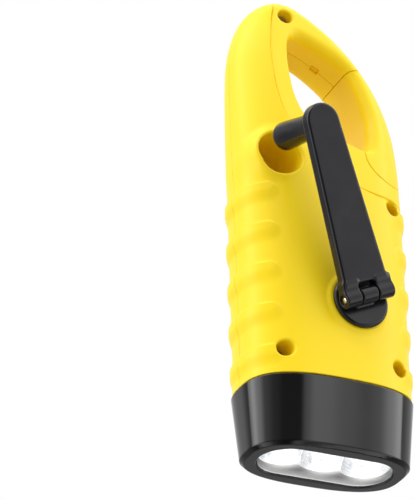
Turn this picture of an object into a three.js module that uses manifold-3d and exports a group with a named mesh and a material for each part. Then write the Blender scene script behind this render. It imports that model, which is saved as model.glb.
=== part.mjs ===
// Hand crank flashlight with a solar face, a carabiner loop and a folding crank.
// Millimetres. +Z runs from the lens to the top of the loop, -Y is the solar side,
// +Y is the crank side, and the gate of the loop is on the -X side.
// The origin is the middle of the lens, level with the rim of the head.
import * as THREE from 'three';
import { mergeVertices } from 'three/addons/utils/BufferGeometryUtils.js';
import Module from 'manifold-3d';

const wasm = await Module();
wasm.setup();

// ---------------------------------------------------------------- dimensions
const GAP = 0.3;                 // clearance between neighbouring pieces
const WALL = 2.0;                // shell wall
const SPLIT = 0.15;              // half of the parting gap between the two shells
const RIM_Z = 17.8;              // top of the black head
const HEAD_RIM = [23.2, 14.75];  // half width and half depth of the head at its rim
const HEAD_TIP = [21.6, 12.3];   // the same at the lens end
const TOP_Z = 134.5;             // top of the loop
const ROUND_N = 2.7;             // roundness of the body's section

const RIB_Z = [24, 35.6, 47.2, 58.8, 70.4]; // middles of the grip ribs
const RIB_H = 0.75;              // height of a rib
const RIB_HALF = 3.1;            // half width of a rib

const GATE_P = [-17, 87];        // gate pivot, x and z
const GATE_FOOT_R = 7.6;         // round foot of the gate
const GATE_TIP_R = 29.2;         // radius of the gate's tip about its pivot
const GATE_PIN_R = 1.3;

const HUB = [-3.8, 40.0];        // crank axis, x and z
const HUB_R = 7.5;
const ARM_ANGLE = 25;            // folded arm's lean from +Z towards +X, degrees
const ARM_LEN = 44.5;            // fold axis to knob axis
const ARM_T = 3.2;               // arm thickness
const FOLD_Y = 18.9;             // height of the fold axis
const REST_LIFT = 18;            // the stored crank is lifted this far, degrees
const KNOB_R = 3.7;
const KNOB_TIP_Y = 1.6;          // knob's free end when folded
const POCKET_R = 5.2;            // knob recess
const POCKET_SLOT = [44.3, 46.5];// recess centre runs between these along the arm

const MOD = 0.5;                 // gear module
const Z_WHEEL = 40, Z_PINION = 10;
const LAYER = [[8.5, 10.4], [6.0, 7.8], [3.6, 5.4]]; // the three gear layers, y
const AXIS2 = [HUB[0] + 12.25, HUB[1] - 2.487];      // second shaft
const AXIS3 = [AXIS2[0] - 3.5, AXIS2[1] + 12.0];     // third shaft
const ROTOR = [AXIS3[0] - 7.5, AXIS3[1] + 10.0];     // generator shaft

const SCREWS = [                 // x, z, height of the head's seat, height of the tip
  [10.6, 128.2, 3.0, -5.4],
  [-17.0, 72.2, 5.0, -6.8],
  [15.7, 24.8, 5.0, -6.8],
  [-15.7, 24.8, 5.0, -6.8],
];

// ---------------------------------------------------------------- helpers
const solidOf = (geometry) => {
  const g = geometry.index ? geometry.toNonIndexed() : geometry.clone();
  g.deleteAttribute('normal');
  g.deleteAttribute('uv');
  const m = mergeVertices(g, 1e-4);
  const tris = [];
  const idx = m.index.array;
  for (let i = 0; i < idx.length; i += 3) {
    if (idx[i] !== idx[i + 1] && idx[i + 1] !== idx[i + 2] && idx[i] !== idx[i + 2]) {
      tris.push(idx[i], idx[i + 1], idx[i + 2]);
    }
  }
  // turn the skin round if it faces inwards
  const P = m.attributes.position.array;
  let vol = 0;
  for (let i = 0; i < tris.length; i += 3) {
    const [a, b, c] = [3 * tris[i], 3 * tris[i + 1], 3 * tris[i + 2]];
    vol += P[a] * (P[b + 1] * P[c + 2] - P[b + 2] * P[c + 1])
      - P[a + 1] * (P[b] * P[c + 2] - P[b + 2] * P[c])
      + P[a + 2] * (P[b] * P[c + 1] - P[b + 1] * P[c]);
  }
  if (vol < 0) for (let i = 0; i < tris.length; i += 3) [tris[i + 1], tris[i + 2]] = [tris[i + 2], tris[i + 1]];
  return new wasm.Manifold(new wasm.Mesh({
    numProp: 3,
    vertProperties: Float32Array.from(m.attributes.position.array),
    triVerts: Uint32Array.from(tris),
  }));
};

const geometryOf = (solid) => {
  const m = solid.getMesh();
  const g = new THREE.BufferGeometry();
  const p = new Float32Array(m.numVert * 3);
  for (let i = 0; i < m.numVert; i++) {
    for (let k = 0; k < 3; k++) p[3 * i + k] = m.vertProperties[i * m.numProp + k];
  }
  g.setAttribute('position', new THREE.BufferAttribute(p, 3));
  g.setIndex(Array.from(m.triVerts));
  g.computeVertexNormals();
  return g;
};

const shapeOf = (points) => new THREE.Shape(points.map(([x, z]) => new THREE.Vector2(x, z)));

// a prism whose outline is given in x and z, running along y from y0 to y1
const prismY = (shape, y0, y1, seg = 12) => {
  const s = shape instanceof THREE.Shape ? shape : shapeOf(shape);
  const g = new THREE.ExtrudeGeometry(s, { depth: y1 - y0, bevelEnabled: false, curveSegments: seg });
  g.rotateX(Math.PI / 2);
  g.translate(0, y1, 0);
  return solidOf(g);
};

// the same with its outline in x and y, running along z
const prismZ = (shape, z0, z1, seg = 12) => {
  const s = shape instanceof THREE.Shape ? shape : shapeOf(shape);
  const g = new THREE.ExtrudeGeometry(s, { depth: z1 - z0, bevelEnabled: false, curveSegments: seg });
  g.translate(0, 0, z0);
  return solidOf(g);
};

const cylY = (x, z, r, y0, y1, seg = 24) => {
  const g = new THREE.CylinderGeometry(r, r, y1 - y0, seg);
  g.translate(x, (y0 + y1) / 2, z);
  return solidOf(g);
};

const cylX = (y, z, r, x0, x1, seg = 24) => {
  const g = new THREE.CylinderGeometry(r, r, x1 - x0, seg);
  g.rotateZ(Math.PI / 2);
  g.translate((x0 + x1) / 2, y, z);
  return solidOf(g);
};

const cylZ = (x, y, r, z0, z1, seg = 24) => {
  const g = new THREE.CylinderGeometry(r, r, z1 - z0, seg);
  g.rotateX(Math.PI / 2);
  g.translate(x, y, (z0 + z1) / 2);
  return solidOf(g);
};

const box = (x0, x1, y0, y1, z0, z1) => {
  const g = new THREE.BoxGeometry(x1 - x0, y1 - y0, z1 - z0);
  g.translate((x0 + x1) / 2, (y0 + y1) / 2, (z0 + z1) / 2);
  return solidOf(g);
};

// a closed skin through rings of equal point counts
const loft = (rings) => {
  const n = rings[0].length;
  const pos = [];
  const idx = [];
  for (const ring of rings) for (const p of ring) pos.push(...p);
  for (let k = 0; k < rings.length - 1; k++) {
    for (let i = 0; i < n; i++) {
      const a = k * n + i, b = k * n + (i + 1) % n, c = a + n, d = b + n;
      idx.push(a, b, d, a, d, c);
    }
  }
  const cap = (k, up) => {
    const c = [0, 0, 0];
    for (const p of rings[k]) for (let j = 0; j < 3; j++) c[j] += p[j] / n;
    const m = pos.length / 3;
    pos.push(...c);
    for (let i = 0; i < n; i++) {
      const a = k * n + i, b = k * n + (i + 1) % n;
      if (up) idx.push(m, a, b); else idx.push(m, b, a);
    }
  };
  cap(0, false);
  cap(rings.length - 1, true);
  const g = new THREE.BufferGeometry();
  g.setAttribute('position', new THREE.Float32BufferAttribute(pos, 3));
  g.setIndex(idx);
  return solidOf(g);
};

const roundedRect = (x0, x1, z0, z1, r) => {
  const s = new THREE.Shape();
  s.moveTo(x0 + r, z0);
  s.lineTo(x1 - r, z0);
  s.absarc(x1 - r, z0 + r, r, -Math.PI / 2, 0, false);
  s.lineTo(x1, z1 - r);
  s.absarc(x1 - r, z1 - r, r, 0, Math.PI / 2, false);
  s.lineTo(x0 + r, z1);
  s.absarc(x0 + r, z1 - r, r, Math.PI / 2, Math.PI, false);
  s.lineTo(x0, z0 + r);
  s.absarc(x0 + r, z0 + r, r, Math.PI, 1.5 * Math.PI, false);
  return s;
};

const interp = (table, z) => {
  if (z <= table[0][0]) return table[0].slice(1);
  for (let i = 1; i < table.length; i++) {
    if (z <= table[i][0]) {
      const t = (z - table[i - 1][0]) / (table[i][0] - table[i - 1][0]);
      return table[i].slice(1).map((v, k) => table[i - 1][k + 1] * (1 - t) + v * t);
    }
  }
  return table[table.length - 1].slice(1);
};

// every outline point pushed outwards by d along its normal
const grow = (pts, d) => {
  const area = pts.reduce((s, p, i) => {
    const q = pts[(i + 1) % pts.length];
    return s + p[0] * q[1] - q[0] * p[1];
  }, 0);
  const sg = area > 0 ? 1 : -1;
  return pts.map((p, i) => {
    const a = pts[(i + pts.length - 1) % pts.length], b = pts[(i + 1) % pts.length];
    const n1 = [p[1] - a[1], a[0] - p[0]], n2 = [b[1] - p[1], p[0] - b[0]];
    const l1 = Math.hypot(...n1), l2 = Math.hypot(...n2);
    const m = [n1[0] / l1 + n2[0] / l2, n1[1] / l1 + n2[1] / l2];
    const lm = Math.hypot(...m);
    const k = d * 2 / (lm * lm);
    return [p[0] + sg * m[0] * k, p[1] + sg * m[1] * k];
  });
};

// ---------------------------------------------------------------- outer form
// z, left edge, right edge, half depth
const OUTLINE = [
  [RIM_Z, -22.9, 22.9, 14.75],
  [22, -22.6, 22.6, 14.7],
  [46, -22.9, 22.9, 14.6],
  [60, -23.0, 23.15, 14.35],
  [75, -23.1, 23.45, 14.0],
  [82, -23.1, 23.75, 13.8],
  [88, -22.9, 23.85, 13.55],
  [95, -22.35, 24.0, 13.2],
  [101, -21.2, 24.2, 12.95],
  [107, -19.3, 24.35, 12.65],
  [112.5, -16.7, 24.2, 12.3],
  [117.5, -13.4, 23.65, 11.8],
  [122, -9.5, 22.7, 11.1],
  [126, -5.1, 21.4, 10.1],
  [129.3, -0.5, 19.7, 8.9],
  [131.8, 3.5, 17.5, 7.4],
  [133.4, 6.6, 15.2, 5.6],
  [134.2, 8.7, 13.3, 3.9],
  [TOP_Z, 10.2, 11.8, 2.0],
];

const smooth = (a, b, x) => {
  const t = Math.min(1, Math.max(0, (x - a) / (b - a)));
  return t * t * (3 - 2 * t);
};

const ring = (z, inset, rib, count) => {
  const [xl, xr, b] = interp(OUTLINE, z);
  const cx = (xl + xr) / 2, a = (xr - xl) / 2 - inset, hb = b - inset;
  const n = ROUND_N - 0.5 * smooth(85, 130, z);
  const pts = [];
  for (let i = 0; i < count; i++) {
    const t = (i + 0.5) / count * Math.PI * 2;
    const c = Math.cos(t), s = Math.sin(t);
    let x = a * Math.sign(c) * Math.abs(c) ** (2 / n);
    let y = hb * Math.sign(s) * Math.abs(s) ** (2 / n);
    if (rib > 0) {
      const side = smooth(15.5, 18.5, Math.abs(x)) * rib;
      const l = Math.hypot(x / a / a, y / hb / hb);
      x += side * x / a / a / l;
      y += side * y / hb / hb / l;
    }
    pts.push([cx + x, y, z]);
  }
  return pts;
};

const outerRings = (inset, count, withRibs, z0, z1, steps) => {
  const list = steps.filter((z) => z > z0 && z < z1).map((z) => [z, 0]);
  list.push([z0, 0], [z1, 0]);
  if (withRibs) {
    for (const r of RIB_Z) {
      list.push([r - RIB_HALF, 0], [r - 1.3, RIB_H], [r + 1.3, RIB_H], [r + RIB_HALF, 0]);
    }
  }
  list.sort((p, q) => p[0] - q[0]);
  return list.map(([z, h]) => ring(z, inset, h, count));
};
const LOOP_STEPS = [82, 90, 98, 105, 111, 116.5, 121.5, 126, 129.3, 131.8, 133.4, 134.2];

const outer = loft(outerRings(0, 32, true, RIM_Z + GAP, TOP_Z, LOOP_STEPS));

// flat facet around the loop: outline in x and z, depth falls towards the top
const FACET = [
  [-30, 74.2], [-15.5, 74.2], [-11, 74.1], [-6, 75.0], [-1.5, 76.5], [3.6, 79.3],
  [7.8, 83.4], [10.9, 88.2], [13.4, 94.0], [15.2, 101.2], [16, 108.5], [16.2, 115.5],
  [15.7, 121.8], [14.9, 127], [13.9, 131], [12.8, 140], [-30, 140],
];
const facetY = (z) => 13.45 - (z - 75) * 0.107;
const facetCut = (() => {
  const wedge = (s) => {
    // a slanted slab beyond the facet plane
    const pts = [[facetY(60) * s, 60], [25 * s, 60], [25 * s, 145], [facetY(145) * s, 145]];
    const shape = new THREE.Shape((s > 0 ? pts : pts.slice().reverse()).map(([y, z]) => new THREE.Vector2(y, z)));
    const g = new THREE.ExtrudeGeometry(shape, { depth: 80, bevelEnabled: false });
    // local x is y, local y is z, and the depth runs along x
    g.applyMatrix4(new THREE.Matrix4().makeBasis(
      new THREE.Vector3(0, 1, 0), new THREE.Vector3(0, 0, 1), new THREE.Vector3(1, 0, 0)));
    g.translate(-40, 0, 0);
    return solidOf(g);
  };
  const zone = prismY(FACET, -30, 30);
  return zone.intersect(wedge(1).add(wedge(-1)));
})();

// hole of the loop, clockwise from its lower left corner
const GATE_SIDE = [[-11.2, 92.0], [-11.5, 95.5], [-11.5, 100], [-10.3, 106.4], [-8.2, 112.8]];
const HOLE = [
  [-9.6, 88.3], ...GATE_SIDE, [-7.0, 114.7], [-3.0, 117.7], [1.8, 120.4], [5.6, 122.0],
  [8.1, 122.2], [9.9, 121.0], [10.8, 118.4], [11.1, 113.5], [10.7, 106.5], [9.8, 101.0],
  [7.9, 96.2], [4.6, 92.6], [-1.2, 90.0],
];
const hole = prismY(HOLE, -30, 30);

// ---------------------------------------------------------------- gate zone
const arcPts = (c, r, a0, a1, n) => Array.from({ length: n + 1 }, (_, i) => {
  const a = (a0 + (a1 - a0) * i / n) * Math.PI / 180;
  return [c[0] + r * Math.cos(a), c[1] + r * Math.sin(a)];
});
// the band between the foot and the split, from the hole out past the left edge
const bandOf = (tipR, low) => shapeOf([
  [GATE_P[0] - 14, GATE_P[1] + low], [GATE_P[0] + 2, GATE_P[1] + low], ...GATE_SIDE,
  ...arcPts(GATE_P, tipR, 65, 122, 9),
]);
const gateZone = (clear) => cylY(GATE_P[0], GATE_P[1], GATE_FOOT_R + clear, -30, 30, 40)
  .add(prismY(bandOf(GATE_TIP_R + clear, 0), -30, 30))
  .add(box(GATE_P[0] - 14, GATE_P[0], -30, 30, GATE_P[1] - (clear > 0 ? 0.6 : 0), GATE_P[1] + 1));

// ---------------------------------------------------------------- crank frame
const armA = THREE.MathUtils.degToRad(ARM_ANGLE);
const U = new THREE.Vector3(Math.sin(armA), 0, Math.cos(armA));
const V = new THREE.Vector3(Math.cos(armA), 0, -Math.sin(armA));
const W = new THREE.Vector3(0, 1, 0);
const along = (u, v = 0) => [HUB[0] + U.x * u + V.x * v, HUB[1] + U.z * u + V.z * v];

// a stadium in x and z whose middle runs along the arm from u0 to u1
const slotShape = (u0, u1, r) => {
  const p = [];
  for (let i = 0; i <= 10; i++) {
    const a = -Math.PI / 2 + Math.PI * i / 10;
    p.push(along(u1 + r * Math.cos(a), r * Math.sin(a)));
  }
  for (let i = 0; i <= 10; i++) {
    const a = Math.PI / 2 + Math.PI * i / 10;
    p.push(along(u0 + r * Math.cos(a), r * Math.sin(a)));
  }
  return shapeOf(p.reverse());
};

// ---------------------------------------------------------------- solar frame
const frameOutline = (grow0) => {
  const w = 14.0 + grow0, z0 = 22.9 - grow0, z1 = 66.8, top = 71.2 + grow0, r = 2.2;
  const s = new THREE.Shape();
  s.moveTo(-w + r, z0);
  s.lineTo(w - r, z0);
  s.absarc(w - r, z0 + r, r, -Math.PI / 2, 0, false);
  s.lineTo(w, z1);
  s.quadraticCurveTo(w, z1 + 1.9, w - 2.2, z1 + 2.5);
  s.quadraticCurveTo(w * 0.45, top, 0, top);
  s.quadraticCurveTo(-w * 0.45, top, -w + 2.2, z1 + 2.5);
  s.quadraticCurveTo(-w, z1 + 1.9, -w, z1);
  s.lineTo(-w, z0 + r);
  s.absarc(-w + r, z0 + r, r, Math.PI, 1.5 * Math.PI, false);
  return s;
};

// ---------------------------------------------------------------- shells
const lowerCavity = loft(outerRings(WALL, 24, false, RIM_Z - 1, 79, [46, 60]));
const loopCavity = loft(outerRings(2.2, 20, false, 80.5, 130.5, [95, 107, 117.5, 126]))
  .subtract(prismY(grow(HOLE, 2.2), -30, 30))
  .subtract(cylY(GATE_P[0], GATE_P[1], GATE_FOOT_R + 2.4, -30, 30, 32))
  .subtract(prismY(shapeOf([[-40, 84], [-9, 84], [-4.5, 112], [-2.5, 119.5], [-8, 124], [-40, 127]]), -30, 30))
  .subtract(facetCut.translate(0, 0, 0))
  .intersect((() => {
    // stay two millimetres below the facet plane
    const pts = [[-facetY(70) + 1.9, 70], [facetY(70) - 1.9, 70], [facetY(140) - 1.9, 140], [-facetY(140) + 1.9, 140]];
    const g = new THREE.ExtrudeGeometry(shapeOf(pts), { depth: 80, bevelEnabled: false });
    g.applyMatrix4(new THREE.Matrix4().makeBasis(
      new THREE.Vector3(0, 1, 0), new THREE.Vector3(0, 0, 1), new THREE.Vector3(1, 0, 0)));
    g.translate(-40, 0, 0);
    return solidOf(g);
  })());

// the lug in the middle of the fork-shaped gate foot
const lug = cylY(GATE_P[0], GATE_P[1], 6.7, -3.7, 3.7, 28)
  .add(box(GATE_P[0] - 5.4, GATE_P[0] + 6.0, -3.7, 3.7, 76, GATE_P[1] - 0.3))
  .intersect(outer);

let body = outer.subtract(facetCut).subtract(hole).subtract(gateZone(GAP)).add(lug);

// knob recess with its raised collar
const pocketOuter = prismY(slotShape(POCKET_SLOT[0], POCKET_SLOT[1], POCKET_R + 1.4), -2.4, 11.3);
const pocketInner = prismY(slotShape(POCKET_SLOT[0], POCKET_SLOT[1], POCKET_R), -0.6, 30);
const collar = prismY(slotShape(POCKET_SLOT[0] + 0.2, POCKET_SLOT[1] - 0.4, POCKET_R + 1.2), 0.5, 11.5);

// flat round seat under the crank hub
const seat = cylY(HUB[0], HUB[1], HUB_R + 0.9, 12, 14.85, 36);

const front = (solid) => solid.subtract(box(-60, 60, -SPLIT, 60, -10, 200));
const rear = (solid) => solid.subtract(box(-60, 60, -60, SPLIT, -10, 200));

// pillars that the screws run through
const screwPost = (x, z, r) => cylY(x, z, r, -30, 30, 14);

let hollow = lowerCavity.add(loopCavity);
hollow = hollow.subtract(screwPost(SCREWS[0][0], SCREWS[0][1], 3.6))
  .subtract(screwPost(SCREWS[1][0], SCREWS[1][1], 3.6))
  .subtract(screwPost(SCREWS[2][0], SCREWS[2][1], 3.5))
  .subtract(screwPost(SCREWS[3][0], SCREWS[3][1], 3.5));

// front half
let frontShell = front(body.subtract(hollow.subtract(pocketOuter.intersect(box(0, 0.1, 0, 0.1, 0, 0.1)))));
frontShell = frontShell
  .subtract(prismY(frameOutline(GAP), -30, -10.5, 6))
  .subtract(prismY(slotShape(POCKET_SLOT[0], POCKET_SLOT[1], POCKET_R + 1.4 + GAP), -2.4 - GAP, 1));
for (const [x, z, , tip] of SCREWS) frontShell = frontShell.subtract(cylY(x, z, 1.35, tip - 0.8, 1, 12));

// rear half
let rearShell = rear(body.add(seat).add(collar).subtract(hollow)).add(pocketOuter)
  .subtract(pocketInner);
for (const [x, z, y] of SCREWS) {
  rearShell = rearShell.subtract(cylY(x, z, 2.4, y, 30, 16)).subtract(cylY(x, z, 1.5, -1, y + 1, 12));
}
// bearing boss for the crank shaft, and the blind seats of the two gear axles
rearShell = rearShell
  .add(cylY(HUB[0], HUB[1], 6.0, 10.9, 14.0, 28))
  .subtract(cylY(HUB[0], HUB[1], 4.7, 0, 14.6 - 0.9, 28))
  .subtract(cylY(HUB[0], HUB[1], 3.35, 0, 30, 24))
  .add(cylY(AXIS2[0], AXIS2[1], 2.2, 10.8, 13.2, 16))
  .add(cylY(AXIS3[0], AXIS3[1], 2.2, 10.8, 13.2, 16))
  .subtract(cylY(AXIS2[0], AXIS2[1], 1.15, 9, 12.4, 16))
  .subtract(cylY(AXIS3[0], AXIS3[1], 1.15, 9, 12.4, 16))
  // room for the rim of the second gear
  .subtract(cylY(AXIS2[0], AXIS2[1], 10.85, 5.7, 8.1, 40));

// side button hole, gate pin bore and spring pocket
const BUTTON_Z = 52;
for (const cut of [
  cylX(0, BUTTON_Z, 4.7, -30, -20, 28),
  cylY(GATE_P[0], GATE_P[1], GATE_PIN_R + 0.12, -30, 30, 16),
  cylY(GATE_P[0], GATE_P[1], 4.1, -2.5, 2.5, 24),
]) {
  frontShell = frontShell.subtract(cut);
  rearShell = rearShell.subtract(cut);
}

// ---------------------------------------------------------------- gate
let gate = outer.subtract(facetCut).subtract(hole).intersect(gateZone(0))
  .subtract(box(-40, 0, -4.0, 4.0, 70, GATE_P[1] + 1.2))
  .subtract(cylY(GATE_P[0], GATE_P[1], 7.1, -4.0, 4.0, 32))
  .subtract(cylY(GATE_P[0], GATE_P[1], GATE_PIN_R + 0.12, -30, 30, 16))
  .subtract(cylY(GATE_P[0], GATE_P[1], 1.6, -30, -9.0, 16))
  .subtract(cylY(GATE_P[0], GATE_P[1], 1.6, 9.0, 30, 16));
const gatePin = cylY(GATE_P[0], GATE_P[1], GATE_PIN_R, -8.8, 8.8, 16);

// torsion spring on the gate pin
const gateSpring = (() => {
  const turns = 3.75, r = 2.75, pitch = 0.95;
  class Coil extends THREE.Curve {
    getPoint(t, target = new THREE.Vector3()) {
      const a = t * turns * 2 * Math.PI;
      return target.set(GATE_P[0] + r * Math.cos(a), (t - 0.5) * turns * pitch, GATE_P[1] + r * Math.sin(a));
    }
  }
  const section = new THREE.Shape(Array.from({ length: 6 }, (_, i) => new THREE.Vector2(
    0.36 * Math.cos(i * Math.PI / 3), 0.36 * Math.sin(i * Math.PI / 3))));
  return solidOf(new THREE.ExtrudeGeometry(section, { steps: 36, bevelEnabled: false, extrudePath: new Coil() }));
})();

// ---------------------------------------------------------------- head
const headRing = (z, inset, count = 32) => {
  const t = z / RIM_Z;
  const a = HEAD_TIP[0] + (HEAD_RIM[0] - HEAD_TIP[0]) * t - inset;
  const b = HEAD_TIP[1] + (HEAD_RIM[1] - HEAD_TIP[1]) * t - inset;
  return Array.from({ length: count }, (_, i) => {
    const w = (i + 0.5) / count * Math.PI * 2, c = Math.cos(w), s = Math.sin(w);
    return [a * Math.sign(c) * Math.abs(c) ** (2 / ROUND_N), b * Math.sign(s) * Math.abs(s) ** (2 / ROUND_N), z];
  });
};
const stadium = (hw, hd) => roundedRect(-hw, hw, -hd, hd, hd - 0.05);
let bezel = loft([headRing(0, 0.9), headRing(0.9, 0), headRing(RIM_Z - 0.4, 0), headRing(RIM_Z, 0.4)])
  .add(loft([ring(RIM_Z - 1.5, WALL + GAP, 0, 24), ring(21.2, WALL + GAP, 0, 24)]))
  .subtract(loft([headRing(4.0, 2.0, 24), headRing(RIM_Z - 1.8, 2.2, 24)]))
  .subtract(loft([ring(RIM_Z - 3.5, WALL + GAP + 1.5, 0, 24), ring(22, WALL + GAP + 1.5, 0, 24)]))
  .subtract(prismZ(stadium(18.0, 8.0), -1, 5, 7))
  .subtract(prismZ(stadium(19.9, 9.9), 1.6, 5, 7));
const lens = prismZ(stadium(17.7, 7.7), 0, 1.9, 7).add(prismZ(stadium(19.6, 9.6), 1.9, 3.2, 7));
const lensSeal = prismZ(stadium(19.6, 9.6), 3.5, 4.3, 6).subtract(prismZ(stadium(18.1, 8.1), 3, 5, 6));

const LED_X = [-11.3, 0, 11.3];
let reflector = prismZ(stadium(19.4, 9.5), 4.6, 11.9, 6);
for (const x of LED_X) {
  const cup = new THREE.LatheGeometry([
    new THREE.Vector2(0, 3.5), new THREE.Vector2(5.55, 3.5), new THREE.Vector2(5.4, 4.6),
    new THREE.Vector2(4.6, 8.0), new THREE.Vector2(2.6, 10.9), new THREE.Vector2(2.6, 13), new THREE.Vector2(0, 13),
  ], 16);
  cup.rotateX(Math.PI / 2);
  cup.translate(x, 0, 0);
  reflector = reflector.subtract(solidOf(cup));
}
const ledBoard = prismZ(stadium(19.0, 9.2), 12.2, 13.4, 6);
const led = (x) => box(x - 1.7, x + 1.7, -1.7, 1.7, 11.0, 11.9).add((() => {
  const g = new THREE.LatheGeometry([
    new THREE.Vector2(0, 9.9), new THREE.Vector2(0.8, 10.1), new THREE.Vector2(1.3, 10.55),
    new THREE.Vector2(1.45, 11.05), new THREE.Vector2(0, 11.05),
  ], 16);
  g.rotateX(Math.PI / 2);
  g.translate(x, 0, 0);
  return solidOf(g);
})());

// ---------------------------------------------------------------- solar side
const frameBack = -12.5, frameFront = -16.3;
const solarFrame = (() => {
  const g = new THREE.ExtrudeGeometry(frameOutline(-0.9), {
    depth: 0.01, bevelEnabled: true, bevelThickness: 0.9, bevelSize: 0.9, bevelSegments: 2, curveSegments: 6 });
  g.rotateX(Math.PI / 2);
  g.translate(0, frameFront + 0.91, 0);
  const ringTop = solidOf(g).intersect(box(-20, 20, -20, frameFront + 0.9, 0, 100));
  let s = ringTop.add(prismY(frameOutline(0), frameFront + 0.89, frameBack, 6));
  // sloping well, flat border and the cell's pocket
  const well = loft([
    [[-12.9, frameFront - 1, 24.7], [12.9, frameFront - 1, 24.7], [12.9, frameFront - 1, 66.6], [-12.9, frameFront - 1, 66.6]],
    [[-12.7, frameFront, 24.9], [12.7, frameFront, 24.9], [12.7, frameFront, 66.4], [-12.7, frameFront, 66.4]],
    [[-10.2, -14.6, 26.9], [10.2, -14.6, 26.9], [10.2, -14.6, 64.1], [-10.2, -14.6, 64.1]],
  ]);
  s = s.subtract(well).subtract(box(-9.3, 9.3, -15, -13.7, 27.7, 63.1));
  // snap tabs behind the shell wall
  return s.add(box(-6, 6, -12.3, -11.2, 21.2, 24)).add(box(-6, 6, -11.6, -10.6, 70, 72.6))
    .add(box(-6, 6, -12.6, -11.2, 23.4, 26)).add(box(-6, 6, -12.6, -10.6, 68, 70.6));
})();
const solarCell = box(-9.0, 9.0, -14.5, -14.0, 28.0, 62.8);

// ---------------------------------------------------------------- gears
const gearShape = (teeth, phase) => {
  const rp = MOD * teeth / 2, alpha = THREE.MathUtils.degToRad(25);
  const rb = rp * Math.cos(alpha), ra = rp + 0.8 * MOD, rf = rp - 1.08 * MOD;
  const inv = (a) => Math.tan(a) - a;
  const half = (Math.PI * MOD / 2 - 0.11) / 2 / rp; // half tooth angle at the pitch circle
  const at = (r) => half + inv(alpha) - (r > rb ? inv(Math.acos(rb / r)) : 0);
  const pts = [];
  const rs = teeth > 20 ? [ra] : [Math.max(rb, rf + 0.02), rp + 0.15 * MOD, ra];
  for (let k = 0; k < teeth; k++) {
    const c = phase + k * 2 * Math.PI / teeth;
    const flank = rs.map((r) => [r, at(r)]);
    const foot = teeth > 20 ? at(rp - 0.6 * MOD) + 0.006 : at(rs[0]);
    pts.push([rf * Math.cos(c - foot), rf * Math.sin(c - foot)]);
    for (const [r, h] of flank) pts.push([r * Math.cos(c - h), r * Math.sin(c - h)]);
    for (const [r, h] of flank.slice().reverse()) pts.push([r * Math.cos(c + h), r * Math.sin(c + h)]);
    pts.push([rf * Math.cos(c + foot), rf * Math.sin(c + foot)]);
  }
  return pts;
};
const gear = (axis, teeth, phase, layer) => prismY(
  gearShape(teeth, phase).map(([x, z]) => [x + axis[0], z + axis[1]]), layer[0], layer[1]);
const angle = (p, q) => Math.atan2(q[1] - p[1], q[0] - p[0]);
const half = (n) => Math.PI / n;
// each pair has a tooth of one on the centre line and a gap of the other
const phi12 = angle(HUB, AXIS2), phi23 = angle(AXIS2, AXIS3), phi3r = angle(AXIS3, ROTOR);
const crankGear = gear(HUB, Z_WHEEL, phi12, LAYER[0])
  .add(cylY(HUB[0], HUB[1], 4.6, LAYER[0][0], 10.6, 24))
  .subtract(cylY(HUB[0], HUB[1], 3.1, 0, 20, 24));
const gear2 = gear(AXIS2, Z_PINION, phi12 + Math.PI + half(Z_PINION), [LAYER[1][1] - 0.1, LAYER[0][1]])
  .add(gear(AXIS2, Z_WHEEL, phi23, LAYER[1]))
  .subtract(cylY(AXIS2[0], AXIS2[1], 1.06, 0, 20, 16));
const gear3 = gear(AXIS3, Z_PINION, phi23 + Math.PI + half(Z_PINION), [LAYER[2][1] - 0.1, LAYER[1][1]])
  .add(gear(AXIS3, Z_WHEEL, phi3r, LAYER[2]))
  .subtract(cylY(AXIS3[0], AXIS3[1], 1.06, 0, 20, 16));
const rotorShaft = gear(ROTOR, Z_PINION, phi3r + Math.PI + half(Z_PINION), LAYER[2])
  .add(cylY(ROTOR[0], ROTOR[1], 0.75, -7.2, LAYER[2][1], 14));
const axle2 = cylY(AXIS2[0], AXIS2[1], 1.0, 2.1, 12.1, 16);
const axle3 = cylY(AXIS3[0], AXIS3[1], 1.0, 2.1, 12.1, 16);

// plate that carries the axles, with three stand-offs towards the rear shell
const plate = (() => {
  let s = prismY(shapeOf([[-13, 31], [-13, 58], [-9.5, 66.5], [3.5, 66.5], [6.5, 60], [15.5, 54], [15.5, 31], [9, 28], [-9, 28]].reverse()), 2.0, 3.2);
  for (const [x, z] of [[-9.2, 63.5], [-10.3, 29.7], [2.6, 64.2]]) s = s.add(cylY(x, z, 1.8, 3.0, 11.2, 14));
  for (const a of [AXIS2, AXIS3]) s = s.subtract(cylY(a[0], a[1], 1.06, 0, 5, 16));
  return s.subtract(cylY(ROTOR[0], ROTOR[1], 1.2, 0, 5, 16));
})();
const generatorHousing = cylY(ROTOR[0], ROTOR[1], 8.8, -7.8, 1.7, 22)
  .subtract(cylY(ROTOR[0], ROTOR[1], 8.1, -6.9, 5, 28))
  .subtract(cylY(ROTOR[0], ROTOR[1], 0.95, -9, 0, 14));
const generatorCoil = cylY(ROTOR[0], ROTOR[1], 7.8, -6.3, 0.9, 28).subtract(cylY(ROTOR[0], ROTOR[1], 5.9, -9, 5, 22));
const rotorMagnet = cylY(ROTOR[0], ROTOR[1], 5.5, -6.0, 0.6, 24).subtract(cylY(ROTOR[0], ROTOR[1], 0.85, -9, 5, 14));

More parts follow.
